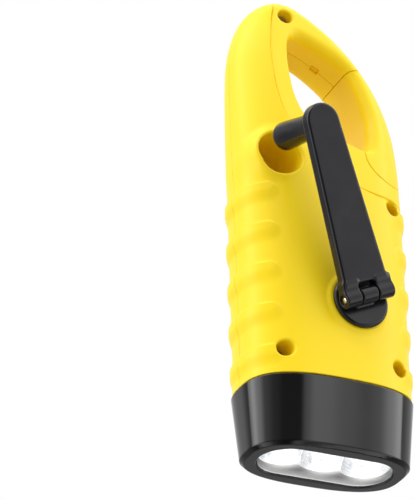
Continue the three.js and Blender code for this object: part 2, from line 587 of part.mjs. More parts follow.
// ---------------------------------------------------------------- inner parts
const BATTERY = [12.8, -4.4];
const batteryCell = cylZ(BATTERY[0], BATTERY[1], 5.1, 29.0, 71.4, 28).add(cylZ(BATTERY[0], BATTERY[1], 1.9, 71.2, 72.4, 16));
const batteryClip = cylZ(BATTERY[0], BATTERY[1], 6.0, 47, 53, 28)
  .add(box(6.4, 9.0, -10.7, -4, 47, 53))
  .subtract(cylZ(BATTERY[0], BATTERY[1], 5.35, 40, 60, 28));
const mainBoard = box(-13.4, 6.1, -10.4, -9.2, 28.6, 67.5);
const switchBody = box(-18.9, -15.1, -3.0, 3.0, BUTTON_Z - 3, BUTTON_Z + 3)
  .add(box(-16.4, -15.7, -8.6, -2, BUTTON_Z - 1.6, BUTTON_Z + 1.6))
  .add(box(-16.4, -11, -8.9, -8.2, BUTTON_Z - 1.6, BUTTON_Z + 1.6));
const powerButton = (() => {
  const g = new THREE.LatheGeometry([
    new THREE.Vector2(0, 3.7), new THREE.Vector2(2.6, 3.6), new THREE.Vector2(3.9, 3.25), new THREE.Vector2(4.4, 2.7),
    new THREE.Vector2(4.4, 0.9), new THREE.Vector2(5.3, 0.9), new THREE.Vector2(5.3, 0), new THREE.Vector2(0, 0),
  ].reverse(), 20);
  g.rotateZ(Math.PI / 2);
  g.translate(-20.1, 0, BUTTON_Z);
  return solidOf(g);
})();
const buttonSeat = cylX(0, BUTTON_Z, 5.7, -21.3, -12, 28);
frontShell = frontShell.subtract(buttonSeat.intersect(box(-21.3, -12, -8, 8, 40, 64)));
rearShell = rearShell.subtract(buttonSeat.intersect(box(-21.3, -12, -8, 8, 40, 64)));

const ledCable = (() => {
  const path = new THREE.CatmullRomCurve3([
    new THREE.Vector3(6, -6.2, 13.8), new THREE.Vector3(6, -6.4, 18), new THREE.Vector3(4, -7.2, 23.5),
    new THREE.Vector3(2, -8.0, 28), new THREE.Vector3(1.5, -8.1, 33),
  ]);
  const section = new THREE.Shape(Array.from({ length: 8 }, (_, i) => new THREE.Vector2(
    0.75 * Math.cos(i * Math.PI / 4), 0.75 * Math.sin(i * Math.PI / 4))));
  return solidOf(new THREE.ExtrudeGeometry(section, { steps: 12, bevelEnabled: false, extrudePath: path }));
})();

// ---------------------------------------------------------------- crank
const crankBushing = cylY(HUB[0], HUB[1], 4.4, 10.9, 13.5, 28).subtract(cylY(HUB[0], HUB[1], 3.12, 0, 20, 28));

// arm frame: x along the arm, y across it, z away from the body
const BARREL_R = 2.15;
const KNUCKLE = [[-7.6, -2.7], [-2.4, 2.4], [2.7, 7.2]]; // spans along the fold axis
const barrelPiece = (r, v0, v1, seg = 24) => {
  const g = new THREE.CylinderGeometry(r, r, v1 - v0, seg);
  g.translate(0, (v0 + v1) / 2, 0);
  return solidOf(g);
};
const toBody = new THREE.Matrix4().makeBasis(U, V, W).setPosition(HUB[0], FOLD_Y, HUB[1]);
const localToBody = (solid) => solidOf(geometryOf(solid).applyMatrix4(toBody));

let crankHub = cylY(HUB[0], HUB[1], HUB_R, 15.15, 16.5, 40)
  .add(cylY(HUB[0], HUB[1], 3.0, 8.5, 15.3, 24))
  .add(localToBody(barrelPiece(BARREL_R, KNUCKLE[1][0], KNUCKLE[1][1])
    .add(box(-2.0, 2.0, KNUCKLE[1][0], KNUCKLE[1][1], 16.3 - FOLD_Y, 0))))
  .subtract(localToBody(barrelPiece(0.92, -9, 9, 16)));

const armOutline = (() => {
  const s = new THREE.Shape();
  s.moveTo(2.2, -6.8);
  s.lineTo(ARM_LEN, -4.85);
  s.absarc(ARM_LEN, 0, 4.85, -Math.PI / 2, Math.PI / 2, false);
  s.lineTo(2.2, 6.8);
  return s;
})();
let crankArm = (() => {
  const g = new THREE.ExtrudeGeometry(armOutline, {
    depth: ARM_T - 1.2, bevelEnabled: true, bevelThickness: 0.6, bevelSize: 0.6, bevelOffset: -0.6, bevelSegments: 2, curveSegments: 8 });
  g.translate(0, 0, -(ARM_T - 1.2) / 2);
  let s = solidOf(g)
    .subtract(box(-5, 4.0, -10, 10, -5, 5));
  const root = box(0, 4.4, KNUCKLE[0][0], KNUCKLE[0][1], -1.5, 1.5)
    .add(box(0, 4.4, KNUCKLE[2][0], KNUCKLE[2][1], -1.5, 1.5));
  s = s.add(root)
    .add(barrelPiece(BARREL_R, KNUCKLE[0][0], KNUCKLE[0][1]))
    .add(barrelPiece(BARREL_R, KNUCKLE[2][0], KNUCKLE[2][1]))
    .subtract(box(-3, 2.75, KNUCKLE[1][0] - GAP, KNUCKLE[1][1] + GAP, -3, 3))
    .subtract(barrelPiece(0.92, -9, 9, 16));
  return s.subtract(solidOf(new THREE.CylinderGeometry(1.25, 1.25, 3, 16).rotateX(Math.PI / 2).translate(ARM_LEN, 0, -1.5)));
})();
const hingePin = barrelPiece(0.8, -7.3, 6.9, 16);

const KNOB_DEEP = FOLD_Y - KNOB_TIP_Y; // free end, measured from the fold axis
const knob = (() => {
  const g = new THREE.LatheGeometry([
    new THREE.Vector2(1.35, -2.0), new THREE.Vector2(3.3, -2.0), new THREE.Vector2(3.45, -2.4),
    new THREE.Vector2(KNOB_R, -KNOB_DEEP + 1.0), new THREE.Vector2(KNOB_R - 0.7, -KNOB_DEEP),
    new THREE.Vector2(2.2, -KNOB_DEEP), new THREE.Vector2(2.2, -KNOB_DEEP + 1.6), new THREE.Vector2(1.35, -KNOB_DEEP + 1.6),
    new THREE.Vector2(1.35, -2.0),
  ], 20);
  g.rotateX(Math.PI / 2);
  g.translate(ARM_LEN, 0, 0);
  return solidOf(g);
})();
const knobPin = solidOf(new THREE.CylinderGeometry(1.1, 1.1, KNOB_DEEP - 1.3, 16).rotateX(Math.PI / 2)
  .translate(ARM_LEN, 0, -(KNOB_DEEP - 1.3) / 2 - 0.4))
  .add(solidOf(new THREE.CylinderGeometry(1.9, 1.9, 0.9, 20).rotateX(Math.PI / 2).translate(ARM_LEN, 0, -KNOB_DEEP + 0.85)));

// ---------------------------------------------------------------- screws
const screw = ([x, z, y, tip]) => cylY(x, z, 2.05, y + GAP, y + 1.9, 20)
  .add(cylY(x, z, 1.2, tip, y + 0.5, 14))
  .subtract(box(x - 1.3, x + 1.3, y + 1.2, y + 3, z - 0.3, z + 0.3))
  .subtract(box(x - 0.3, x + 0.3, y + 1.2, y + 3, z - 1.3, z + 1.3));

// ---------------------------------------------------------------- assembly
const YELLOW = 0xf9dc2a, BLACK = 0x1c1d20, GREY = 0x3a3c40, STEEL = 0xb9bcc0;
const root = new THREE.Group();
const mesh = (name, solid, color, roughness, metalness, parent = root, extra = {}) => {
  const m = new THREE.Mesh(geometryOf(solid), new THREE.MeshStandardMaterial({ color, roughness, metalness, ...extra }));
  m.name = name;
  parent.add(m);
  return m;
};

mesh('front_shell', frontShell, YELLOW, 0.42, 0);
mesh('rear_shell', rearShell, YELLOW, 0.42, 0);
mesh('head_bezel', bezel, 0x111214, 0.15, 0);
mesh('lens', lens, 0xf2f6fa, 0.04, 0, root, { transparent: true, opacity: 0.35 });
mesh('lens_seal', lensSeal, 0x202020, 0.8, 0);
mesh('reflector', reflector, 0xdfe3e8, 0.1, 0.9);
mesh('led_board', ledBoard, 0xe8ece8, 0.5, 0);
LED_X.forEach((x, i) => mesh(`led_${i + 1}`, led(x), 0xfff6d8, 0.2, 0));
mesh('solar_frame', solarFrame, 0x232428, 0.22, 0);
mesh('solar_cell', solarCell, 0x6b4640, 0.18, 0);
mesh('main_board', mainBoard, 0x1f6b3a, 0.5, 0);
mesh('battery_cell', batteryCell, 0x2c7fb8, 0.4, 0.1);
mesh('battery_clip', batteryClip, 0xc9ccd0, 0.4, 0.8);
mesh('switch_body', switchBody, 0x2a2a2a, 0.5, 0);
mesh('gearbox_plate', plate, 0xd8d4c6, 0.5, 0);
mesh('gear_axle_2', axle2, STEEL, 0.25, 1);
mesh('gear_axle_3', axle3, STEEL, 0.25, 1);
mesh('generator_housing', generatorHousing, 0x9a9da1, 0.35, 0.9);
mesh('generator_coil', generatorCoil, 0xb5652b, 0.4, 0.7);
mesh('crank_bushing', crankBushing, 0xb08a4a, 0.35, 0.9);
mesh('gate_pin', gatePin, STEEL, 0.25, 1);
mesh('gate_spring', gateSpring, STEEL, 0.25, 1);
SCREWS.forEach((s, i) => mesh(`shell_screw_${i + 1}`, screw(s), 0x8d9094, 0.3, 1));
mesh('led_cable', ledCable, 0xb3261e, 0.6, 0);
mesh('power_button', powerButton, BLACK, 0.55, 0);
mesh('carabiner_gate', gate, YELLOW, 0.42, 0);

mesh('crank_hub', crankHub, BLACK, 0.35, 0);
mesh('crank_gear', crankGear, 0xe9e6dc, 0.5, 0);
mesh('compound_gear_2', gear2, 0xe9e6dc, 0.5, 0);
mesh('compound_gear_3', gear3, 0xe9e6dc, 0.5, 0);
mesh('rotor_shaft', rotorShaft, STEEL, 0.25, 1);
mesh('rotor_magnet', rotorMagnet, 0x3d3f44, 0.45, 0.4);

// the crank stands on the fold axis, lifted by REST_LIFT from its folded place
const fold = new THREE.Group();
fold.matrixAutoUpdate = false;
fold.matrix.copy(toBody).multiply(new THREE.Matrix4().makeRotationY(-THREE.MathUtils.degToRad(REST_LIFT)));
root.add(fold);
mesh('crank_arm', crankArm, 0x2a2b2e, 0.5, 0, fold);
mesh('crank_hinge_pin', hingePin, STEEL, 0.25, 1, fold);
mesh('knob_pin', knobPin, STEEL, 0.25, 1, fold);
mesh('crank_knob', knob, BLACK, 0.38, 0, fold);

export default root;
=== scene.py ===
"""Hand crank flashlight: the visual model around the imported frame.

Lengths in the shape code are millimetres in the frame of the CAD part; meshes are written in metres.
Each organic piece is a signed distance function, meshed here with surface nets, settled onto the surface
and refined along its edges, so every rounding is real geometry.
"""

import math

import bmesh
import bpy
import numpy as np
from mathutils import Matrix, Vector


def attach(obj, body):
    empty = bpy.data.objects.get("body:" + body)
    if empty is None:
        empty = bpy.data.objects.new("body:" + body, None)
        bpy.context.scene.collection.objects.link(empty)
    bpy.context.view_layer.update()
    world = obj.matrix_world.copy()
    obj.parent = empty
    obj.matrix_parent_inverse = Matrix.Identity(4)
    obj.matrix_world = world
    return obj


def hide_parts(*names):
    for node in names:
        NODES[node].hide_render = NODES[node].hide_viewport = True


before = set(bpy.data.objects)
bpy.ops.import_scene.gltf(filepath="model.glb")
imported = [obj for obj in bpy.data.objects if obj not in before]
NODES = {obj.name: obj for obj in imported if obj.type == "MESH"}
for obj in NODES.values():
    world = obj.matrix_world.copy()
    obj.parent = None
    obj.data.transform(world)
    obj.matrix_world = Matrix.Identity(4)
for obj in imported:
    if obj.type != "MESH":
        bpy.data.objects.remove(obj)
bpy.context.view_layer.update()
MM = 0.001
FINE = 1.0

# ------------------------------------------------------------------ numbers shared with the CAD part
GAP, SPLIT, RIM_Z = 0.3, 0.04, 17.8
OUTLINE = np.array([
    [15.0, -22.9, 22.9, 14.78], [17.8, -22.9, 22.9, 14.75], [22, -22.6, 22.6, 14.7], [46, -22.9, 22.9, 14.6],
    [60, -23.0, 23.15, 14.35], [75, -23.1, 23.45, 14.0], [82, -23.1, 23.75, 13.8],
    [88, -22.9, 23.85, 13.55], [95, -22.35, 24.0, 13.2], [101, -21.2, 24.1, 12.95],
    [107, -19.3, 24.18, 12.65], [112.5, -16.7, 24.1, 12.3], [117.5, -13.4, 23.65, 11.8],
    [122, -9.5, 22.7, 11.1], [126, -5.1, 21.4, 10.1], [129.3, -0.5, 19.7, 8.9],
    [131.8, 3.5, 17.5, 7.4], [133.4, 6.6, 15.2, 5.6], [134.2, 8.7, 13.3, 3.9],
    [134.46, 10.2, 11.8, 2.2], [134.5, 10.7, 11.3, 0.8]])
RIB_Z = [24, 35.6, 47.2, 58.8, 70.4]
GATE_P = (-17.0, 87.0)
HUB = (-3.8, 40.0)
ARM_A = math.radians(25)
ARM_LEN, FOLD_Y, REST_LIFT = 44.5, 18.9, 18.0
U = np.array([math.sin(ARM_A), 0, math.cos(ARM_A)])
V = np.array([math.cos(ARM_A), 0, -math.sin(ARM_A)])
W = np.array([0, 1.0, 0])
SCREWS = [(10.6, 128.2, 3.0), (-17.0, 72.2, 5.0), (15.7, 24.8, 5.0), (-15.7, 24.8, 5.0)]
SCREW_TIP = [-5.4, -6.8, -6.8, -6.8]
BUTTON_Z = 52
LED_X = [-11.3, 0, 11.3]
FACET = [(-15.5, 74.2), (-11, 74.1), (-6, 75.0), (-1.5, 76.5), (3.6, 79.3), (7.8, 83.4), (10.9, 88.2), (13.4, 94.0),
         (15.2, 101.2), (16, 108.5), (16.2, 115.5), (15.7, 121.8), (14.9, 127), (13.9, 131), (12.8, 138)]
HOLE = [(-9.6, 88.3), (-11.2, 92.0), (-11.5, 95.5), (-11.5, 100), (-10.3, 106.4), (-8.2, 112.8), (-7.0, 114.7),
        (-3.0, 117.7), (1.8, 120.4), (5.6, 122.0), (8.1, 122.2), (9.9, 121.0), (10.8, 118.4), (11.1, 113.5),
        (10.7, 106.5), (9.8, 101.0), (7.9, 96.2), (4.6, 92.6), (-1.2, 90.0)]


# ------------------------------------------------------------------ distance helpers
def step(a, b, x):
    t = np.clip((x - a) / (b - a), 0, 1)
    return t * t * (3 - 2 * t)


def smax(a, b, r):
    """Intersection whose edge is rounded to radius r."""
    u, v = np.maximum(a + r, 0), np.maximum(b + r, 0)
    return np.minimum(np.maximum(a, b), -r) + np.sqrt(u * u + v * v)


def smin(a, b, r):
    return -smax(-a, -b, r)


def pmax(a, b, k):
    """Softer intersection for two faces that meet at a shallow angle."""
    h = np.clip(0.5 + 0.5 * (a - b) / k, 0, 1)
    return b * (1 - h) + a * h + k * h * (1 - h)


def pmin(a, b, k):
    return -pmax(-a, -b, k)


def boxd(x, y, z, x0, x1, y0, y1, z0, z1):
    q = [np.abs(p - (a + b) / 2) - (b - a) / 2 for p, a, b in ((x, x0, x1), (y, y0, y1), (z, z0, z1))]
    out = np.sqrt(sum(np.maximum(v, 0) ** 2 for v in q))
    return out + np.minimum(np.maximum(np.maximum(q[0], q[1]), q[2]), 0)


def rrect(x, z, hw, hh, r):
    qx, qz = np.abs(x) - hw + r, np.abs(z) - hh + r
    return np.hypot(np.maximum(qx, 0), np.maximum(qz, 0)) + np.minimum(np.maximum(qx, qz), 0) - r


def cyl(a, b, ca, cb, r):
    return np.hypot(a - ca, b - cb) - r


def curve(points, closed, per=8):
    """A smooth line through the points (centripetal)."""
    p = np.array(points, float)
    n = len(p)
    if closed:
        p = np.concatenate([p[-1:], p, p[:2]])
    else:
        p = np.concatenate([2 * p[:1] - p[1:2], p, 2 * p[-1:] - p[-2:-1]])
    out = []
    for i in range(1, len(p) - 2):
        q = p[i - 1:i + 3]
        t = np.concatenate([[0], np.cumsum(np.sqrt(np.maximum(np.linalg.norm(np.diff(q, axis=0), axis=1), 1e-6)))])
        for s in np.linspace(t[1], t[2], per, endpoint=False):
            a1 = (t[1] - s) / (t[1] - t[0]) * q[0] + (s - t[0]) / (t[1] - t[0]) * q[1]
            a2 = (t[2] - s) / (t[2] - t[1]) * q[1] + (s - t[1]) / (t[2] - t[1]) * q[2]
            a3 = (t[3] - s) / (t[3] - t[2]) * q[2] + (s - t[2]) / (t[3] - t[2]) * q[3]
            b1 = (t[2] - s) / (t[2] - t[0]) * a1 + (s - t[0]) / (t[2] - t[0]) * a2
            b2 = (t[3] - s) / (t[3] - t[1]) * a2 + (s - t[1]) / (t[3] - t[1]) * a3
            out.append((t[2] - s) / (t[2] - t[1]) * b1 + (s - t[1]) / (t[2] - t[1]) * b2)
    if not closed:
        out.append(p[-2])
    return np.array(out)


class Field:
    """Signed distance to a closed outline in a plane, on a fine grid with smooth interpolation."""

    def __init__(self, points, lo, hi, h=0.25):
        self.lo, self.h = np.array(lo, float), h
        n = np.ceil((np.array(hi) - self.lo) / h).astype(int) + 1
        X, Z = np.meshgrid(self.lo[0] + h * np.arange(n[0]), self.lo[1] + h * np.arange(n[1]), indexing="ij")
        pts = np.array(points, float)
        best = np.full(X.shape, 1e9)
        inside = np.zeros(X.shape, bool)
        for a, b in zip(pts, np.roll(pts, -1, 0)):
            e = b - a
            wx, wz = X - a[0], Z - a[1]
            t = np.clip((wx * e[0] + wz * e[1]) / max(e @ e, 1e-12), 0, 1)
            best = np.minimum(best, (wx - t * e[0]) ** 2 + (wz - t * e[1]) ** 2)
            if a[1] != b[1]:
                up = (a[1] > Z) != (b[1] > Z)
                inside ^= up & (X < a[0] + (Z - a[1]) * e[0] / e[1])
        self.g = np.where(inside, -1, 1) * np.sqrt(best)
        self.n = n

    def __call__(self, x, z):
        fx = np.clip((x - self.lo[0]) / self.h, 1, self.n[0] - 2.001)
        fz = np.clip((z - self.lo[1]) / self.h, 1, self.n[1] - 2.001)
        i, j = fx.astype(np.int64), fz.astype(np.int64)
        s, t = fx - i, fz - j

        def wts(s):
            return (((2 - s) * s - 1) * s / 2, ((3 * s - 5) * s * s + 2) / 2, ((4 - 3 * s) * s + 1) * s / 2,
                    (s - 1) * s * s / 2)

        ws, wt = wts(s), wts(t)
        out = 0
        i = np.clip(i, 1, self.n[0] - 3)
        j = np.clip(j, 1, self.n[1] - 3)
        for a in range(4):
            row = 0
            for b in range(4):
                row = row + wt[b] * self.g[i + a - 1, j + b - 1]
            out = out + ws[a] * row
        return out


# ------------------------------------------------------------------ meshing
def cells(f, lo, hi, h):
    lo = np.asarray(lo, float)
    n = np.ceil((np.asarray(hi, float) - lo) / h).astype(int) + 1
    ax = [lo[k] + h * np.arange(n[k]) for k in range(3)]
    F = np.empty(n, np.float32)
    slab = max(1, int(300000 // (n[1] * n[2])))
    for i in range(0, n[0], slab):
        g = np.meshgrid(ax[0][i:i + slab], ax[1], ax[2], indexing="ij")
        F[i:i + slab] = f(*[v.ravel() for v in g]).reshape(-1, n[1], n[2])
    S = F < 0
    off = [(a, b, c) for a in (0, 1) for b in (0, 1) for c in (0, 1)]
    view = [S[a:n[0] - 1 + a, b:n[1] - 1 + b, c:n[2] - 1 + c] for a, b, c in off]
    act = np.logical_or.reduce(view) & ~np.logical_and.reduce(view)
    idx = np.argwhere(act)
    ids = np.full(act.shape, -1, np.int64)
    ids[act] = np.arange(len(idx))
    val = np.stack([F[idx[:, 0] + a, idx[:, 1] + b, idx[:, 2] + c] for a, b, c in off], 1).astype(float)
    corner = np.array(off, float)
    acc, cnt = np.zeros((len(idx), 3)), np.zeros(len(idx))
    for p in range(8):
        for q in range(p + 1, 8):
            if np.abs(corner[p] - corner[q]).sum() != 1:
                continue
            m = (val[:, p] < 0) != (val[:, q] < 0)
            t = val[m, p] / (val[m, p] - val[m, q])
            acc[m] += corner[p] + t[:, None] * (corner[q] - corner[p])
            cnt[m] += 1
    P = lo + h * (idx + acc / cnt[:, None])
    quads = []
    for k in range(3):
        u, v = [j for j in range(3) if j != k]
        s0 = [slice(1, n[j] - 1) for j in range(3)]
        s0[k] = slice(0, n[k] - 1)
        s1 = list(s0)
        s1[k] = slice(1, n[k])
        A, B = S[tuple(s0)], S[tuple(s1)]
        e = np.argwhere(A != B)
        first = A[e[:, 0], e[:, 1], e[:, 2]]
        base = e.copy()
        base[:, u] += 1
        base[:, v] += 1

        def at(du, dv):
            q = base.copy()
            q[:, u] -= du
            q[:, v] -= dv
            return ids[q[:, 0], q[:, 1], q[:, 2]]

        q4 = np.stack([at(1, 1), at(0, 1), at(0, 0), at(1, 0)], 1)
        flip = first if k == 1 else ~first
        q4[flip] = q4[flip][:, ::-1]
        quads.append(q4)
    return P, np.concatenate(quads)


def slope(f, P, d=0.03):
    g = np.empty_like(P)
    for k in range(3):
        a, b = P.copy(), P.copy()
        a[:, k] += d
        b[:, k] -= d
        g[:, k] = (f(*a.T) - f(*b.T)) / (2 * d)
    return g


def settle(f, P, h, rounds=3):
    for _ in range(rounds):
        v, g = f(*P.T), slope(f, P)
        move = -(v / np.maximum((g * g).sum(1), 0.2))[:, None] * g
        size = np.linalg.norm(move, axis=1)
        P = P + move * np.minimum(1, 0.4 * h / np.maximum(size, 1e-9))[:, None]
    return P


def relax(P, quads, amount=0.5):
    total, count = np.zeros_like(P), np.zeros(len(P))
    for a, b in ((0, 1), (1, 2), (2, 3), (3, 0)):
        for s, t in ((a, b), (b, a)):
            np.add.at(total, quads[:, s], P[quads[:, t]])
            np.add.at(count, quads[:, s], 1)
    return P + amount * (total / np.maximum(count, 1)[:, None] - P)


def carve(name, f, lo, hi, h, sharp=0, matrix=None, turn=14.0):
    """A mesh object of the surface f = 0. sharp is how often the grid is halved where the surface turns."""
    h = h * FINE
    P, quads = cells(f, lo, hi, h)
    P = settle(f, P, h, 2)
    P = settle(f, relax(P, quads), h, 2)
    mesh = bpy.data.meshes.new(name)
    mesh.from_pydata(P.tolist(), [], quads.tolist())
    for level in range(sharp):
        N = slope(f, P)
        N /= np.maximum(np.linalg.norm(N, axis=1), 1e-9)[:, None]
        bm = bmesh.new()
        bm.from_mesh(mesh)
        bm.verts.ensure_lookup_table()
        limit = math.cos(math.radians(turn))
        E = np.array([(e.verts[0].index, e.verts[1].index) for e in bm.edges])
        bent = (N[E[:, 0]] * N[E[:, 1]]).sum(1) < limit
        bm.edges.ensure_lookup_table()
        faces = set()
        for i in np.nonzero(bent)[0]:
            faces.update(bm.edges[i].link_faces)
        edges = list({e for q in faces for e in q.edges})
        if not edges:
            bm.free()
            break
        bmesh.ops.subdivide_edges(bm, edges=edges, cuts=1, use_grid_fill=True)
        big = [q for q in bm.faces if len(q.verts) > 4]
        bmesh.ops.triangulate(bm, faces=big)
        bm.to_mesh(mesh)
        bm.free()
        P = np.empty(len(mesh.vertices) * 3)
        mesh.vertices.foreach_get("co", P)
        P = settle(f, P.reshape(-1, 3), h / 2 ** (level + 1), 3)
        mesh.vertices.foreach_set("co", P.ravel())
    N = slope(f, P)
    N /= np.maximum(np.linalg.norm(N, axis=1), 1e-9)[:, None]
    M = np.eye(3) if matrix is None else matrix[0]
    o = np.zeros(3) if matrix is None else matrix[1]
    P, N = (P @ M.T + o) * MM, N @ M.T
    mesh.vertices.foreach_set("co", P.ravel())
    mesh.polygons.foreach_set("use_smooth", np.ones(len(mesh.polygons), bool))
    mesh.update()
    mesh.normals_split_custom_set_from_vertices(N.tolist())
    ob = bpy.data.objects.new(name, mesh)
    bpy.context.scene.collection.objects.link(ob)
    return ob


def arc(cx, cy, r, a0, a1, n=5):
    return [(cx + r * math.cos(math.radians(a0 + (a1 - a0) * i / n)),
             cy + r * math.sin(math.radians(a0 + (a1 - a0) * i / n))) for i in range(n + 1)]


def lathe(name, profile, origin, axis, up, seg=72, sharp=28):
    """A turned piece: profile of (radius, distance along the axis), from end to end."""
    axis, up = Vector(axis).normalized(), Vector(up).normalized()
    side = axis.cross(up)
    bm = bmesh.new()
    rings = []
    for r, d in profile:
        base = Vector(origin) + axis * d
        if r < 1e-6:
            rings.append([bm.verts.new(base * MM)])
        else:
            rings.append([bm.verts.new((base + up * (r * math.cos(2 * math.pi * i / seg)) +
                                        side * (r * math.sin(2 * math.pi * i / seg))) * MM) for i in range(seg)])
    for a, b in zip(rings, rings[1:]):
        for i in range(seg):
            j = (i + 1) % seg
            if len(a) == 1 and len(b) == 1:
                continue
            if len(a) == 1:
                bm.faces.new((a[0], b[j], b[i]))
            elif len(b) == 1:
                bm.faces.new((a[i], a[j], b[0]))
            else:
                bm.faces.new((a[i], a[j], b[j], b[i]))
    if len(rings[0]) > 1 and len(rings[-1]) > 1:  # a ring-shaped piece closes on itself
        a, b = rings[-1], rings[0]
        for i in range(seg):
            j = (i + 1) % seg
            bm.faces.new((a[i], a[j], b[j], b[i]))
    bmesh.ops.recalc_face_normals(bm, faces=bm.faces)
    mesh = bpy.data.meshes.new(name)
    bm.to_mesh(mesh)
    bm.free()
    mesh.polygons.foreach_set("use_smooth", np.ones(len(mesh.polygons), bool))
    mesh.set_sharp_from_angle(angle=math.radians(sharp))
    ob = bpy.data.objects.new(name, mesh)
    bpy.context.scene.collection.objects.link(ob)
    return ob


# ------------------------------------------------------------------ outer form
def pchip(t, y, T):
    h, d = np.diff(t), np.diff(y) / np.diff(t)
    m = np.zeros_like(y)
    for i in range(1, len(y) - 1):
        if d[i - 1] * d[i] > 0:
            w1, w2 = 2 * h[i] + h[i - 1], h[i] + 2 * h[i - 1]
            m[i] = (w1 + w2) / (w1 / d[i - 1] + w2 / d[i])
    m[0], m[-1] = d[0], d[-1]
    i = np.clip(np.searchsorted(t, T, side="right") - 1, 0, len(t) - 2)
    s = (T - t[i]) / h[i]
    return ((1 + 2 * s) * (1 - s) ** 2 * y[i] + s * (1 - s) ** 2 * h[i] * m[i] + s * s * (3 - 2 * s) * y[i + 1]
            + s * s * (s - 1) * h[i] * m[i + 1])


_t = np.concatenate([[0], np.cumsum(np.sqrt((np.diff(OUTLINE, axis=0) ** 2).sum(1)))])
_T = np.unique(np.concatenate([np.linspace(_t[i], _t[i + 1], 31) for i in range(len(_t) - 1)]))
_tab = np.stack([pchip(_t, OUTLINE[:, k], _T) for k in range(4)], 1)
TZ = _tab[:, 0]
TA, TB, TC = (_tab[:, 2] - _tab[:, 1]) / 2, _tab[:, 3], (_tab[:, 2] + _tab[:, 1]) / 2
DA, DB, DC = [np.gradient(v, TZ) for v in (TA, TB, TC)]


def section(x, y, a, b, n, da, db, cx=0.0, dc=0.0):
    X, Y = np.abs(x - cx) / a, np.abs(y) / b
    F = np.maximum((X ** n + Y ** n) ** (1 / n), 1e-3)
    px, py = (X / F) ** (n - 1), (Y / F) ** (n - 1)
    gx, gy = px / a, py / b
    gz = px * (X * da + np.sign(x - cx) * dc) / a + py * Y * db / b
    return (F - 1) / np.sqrt(gx * gx + gy * gy + gz * gz)


def form(x, y, z):
    zc = np.clip(z, TZ[0], TZ[-1])
    n = 2.7 - 0.5 * step(85, 130, zc)
    d = section(x, y, np.interp(zc, TZ, TA), np.interp(zc, TZ, TB), n, np.interp(zc, TZ, DA), np.interp(zc, TZ, DB),
                np.interp(zc, TZ, TC), np.interp(zc, TZ, DC))
    return np.maximum(d, z - 134.44)


def ribs(x, z):
    total = 0
    for r in RIB_Z:
        dz = z - r
        over = np.maximum(18.9 - np.abs(x), 0) * 1.15
        d = np.hypot(dz, over)
        w = 0.5 + 0.5 * dz / np.maximum(d, 0.3)  # 1 above the ridge, 0 below it
        w = w * w * (3 - 2 * w)
        total = total + 1 - step(0.15 + 1.35 * w, 4.2 - 1.75 * w, d)
    return (0.42 + 0.3 * step(17.5, 22, np.abs(x))) * total


facet_line = [(-34, 74.2), (-30, 74.2)] + [tuple(p) for p in curve(FACET, False)] + [(12.8, 142), (-34, 142)]
D_FACET = Field(facet_line, (-30, 68), (32, 139))
D_HOLE = Field(curve(HOLE, True), (-30, 70), (32, 139))
D_SIDE = Field([(-40, 87), (-15, 87), (-11.2, 92), (-8.2, 95), (-4.5, 105), (-4.5, 130), (-40, 130)], (-32, 78), (12, 122))


def facet_y(z):
    return 13.45 - (z - 75) * 0.107


def skin(x, y, z):
    """The whole outside of the yellow body: form, ribs, facet, groove line and loop hole."""
    f = form(x, y, z) - ribs(x, z)
    low = pmax(f, np.abs(y) - facet_y(z), 1.0)
    d = D_FACET(x, z)
    f = smax(f, smin(low, -d, 0.12), 0.1)
    f = f + 0.5 * np.exp(-(d / 0.22) ** 2) * step(4.0, 6.5, np.abs(y)) * step(-25.5, -22.5, x)
    across = ((x + 9.6) * 32.8 - (z - 88.3) * 18.6) / 37.7  # which side of the hole
    r = 0.5 + 2.9 * (1 - step(-4, 4, across))
    return smax(f, -D_HOLE(x, z), r)


def gate_zone(x, z):
    d = np.hypot(x - GATE_P[0], z - GATE_P[1])
    return np.minimum(d - 7.6, np.maximum(d - 29.2, D_SIDE(x, z)))


def uv(x, z):
    dx, dz = x - HUB[0], z - HUB[1]
    return dx * U[0] + dz * U[2], dx * V[0] + dz * V[2]


def stadium_uv(x, z, u0, u1, r):
    u, v = uv(x, z)
    return np.hypot(u - np.clip(u, u0, u1), v) - r


def shell_body(x, y, z):
    """Both shells before they are split: skin, gate opening, lug and cavity."""
    f = skin(x, y, z)
    d = np.hypot(x - GATE_P[0], z - GATE_P[1])
    lug = np.minimum(d - 6.7, boxd(x, 0 * y, z, -22.4, -11.0, -1, 1, 76, 86.7))
    lug = smax(np.maximum(lug, f), np.abs(y) - 3.7, 0.3)
    f = smax(f, -(gate_zone(x, z) - 0.15), 0.16)
    f = np.minimum(f, lug)
    # the notch that the gate's nose seats in, and the gate pin and spring
    f = np.maximum(f, -(d - 1.42))
    f = np.maximum(f, -np.maximum(d - 4.1, np.abs(y) - 2.5))
    # catch notch in the inner wall of the arch, on the parting line
    f = smax(f, -boxd(x * 0.872 + z * 0.49, y, z * 0.872 - x * 0.49, 55.7, 58.2, -1.1, 1.1, 103.0, 105.0), 0.25)
    # hollow of the handle, with the screw posts standing in it
    cav = np.maximum(form(x, y, z) + 2.0, z - 79)
    for sx, sz, _ in SCREWS[1:]:
        cav = np.maximum(cav, -cyl(x, z, sx, sz, 3.5))
    pocket = np.maximum(np.maximum(stadium_uv(x, z, 44.3, 46.5, 6.6), y - 11.3), -2.4 - y)
    cav = np.maximum(cav, -pocket)
    f = smax(f, -cav, 0.2)
    f = smax(f, RIM_Z + GAP - z, 0.2)
    # side button
    rx = np.hypot(y, z - BUTTON_Z)
    f = smax(f, -np.maximum(rx - 4.7, x + 20), 0.25)
    f = np.maximum(f, -np.maximum(rx - 5.7, np.maximum(x + 12, -21.3 - x)))
    for (sx, sz, _), tip in zip(SCREWS, SCREW_TIP):
        f = np.maximum(f, -np.maximum(cyl(x, z, sx, sz, 1.4), np.maximum(y - 0.6, tip - 0.7 - y)))
    return f


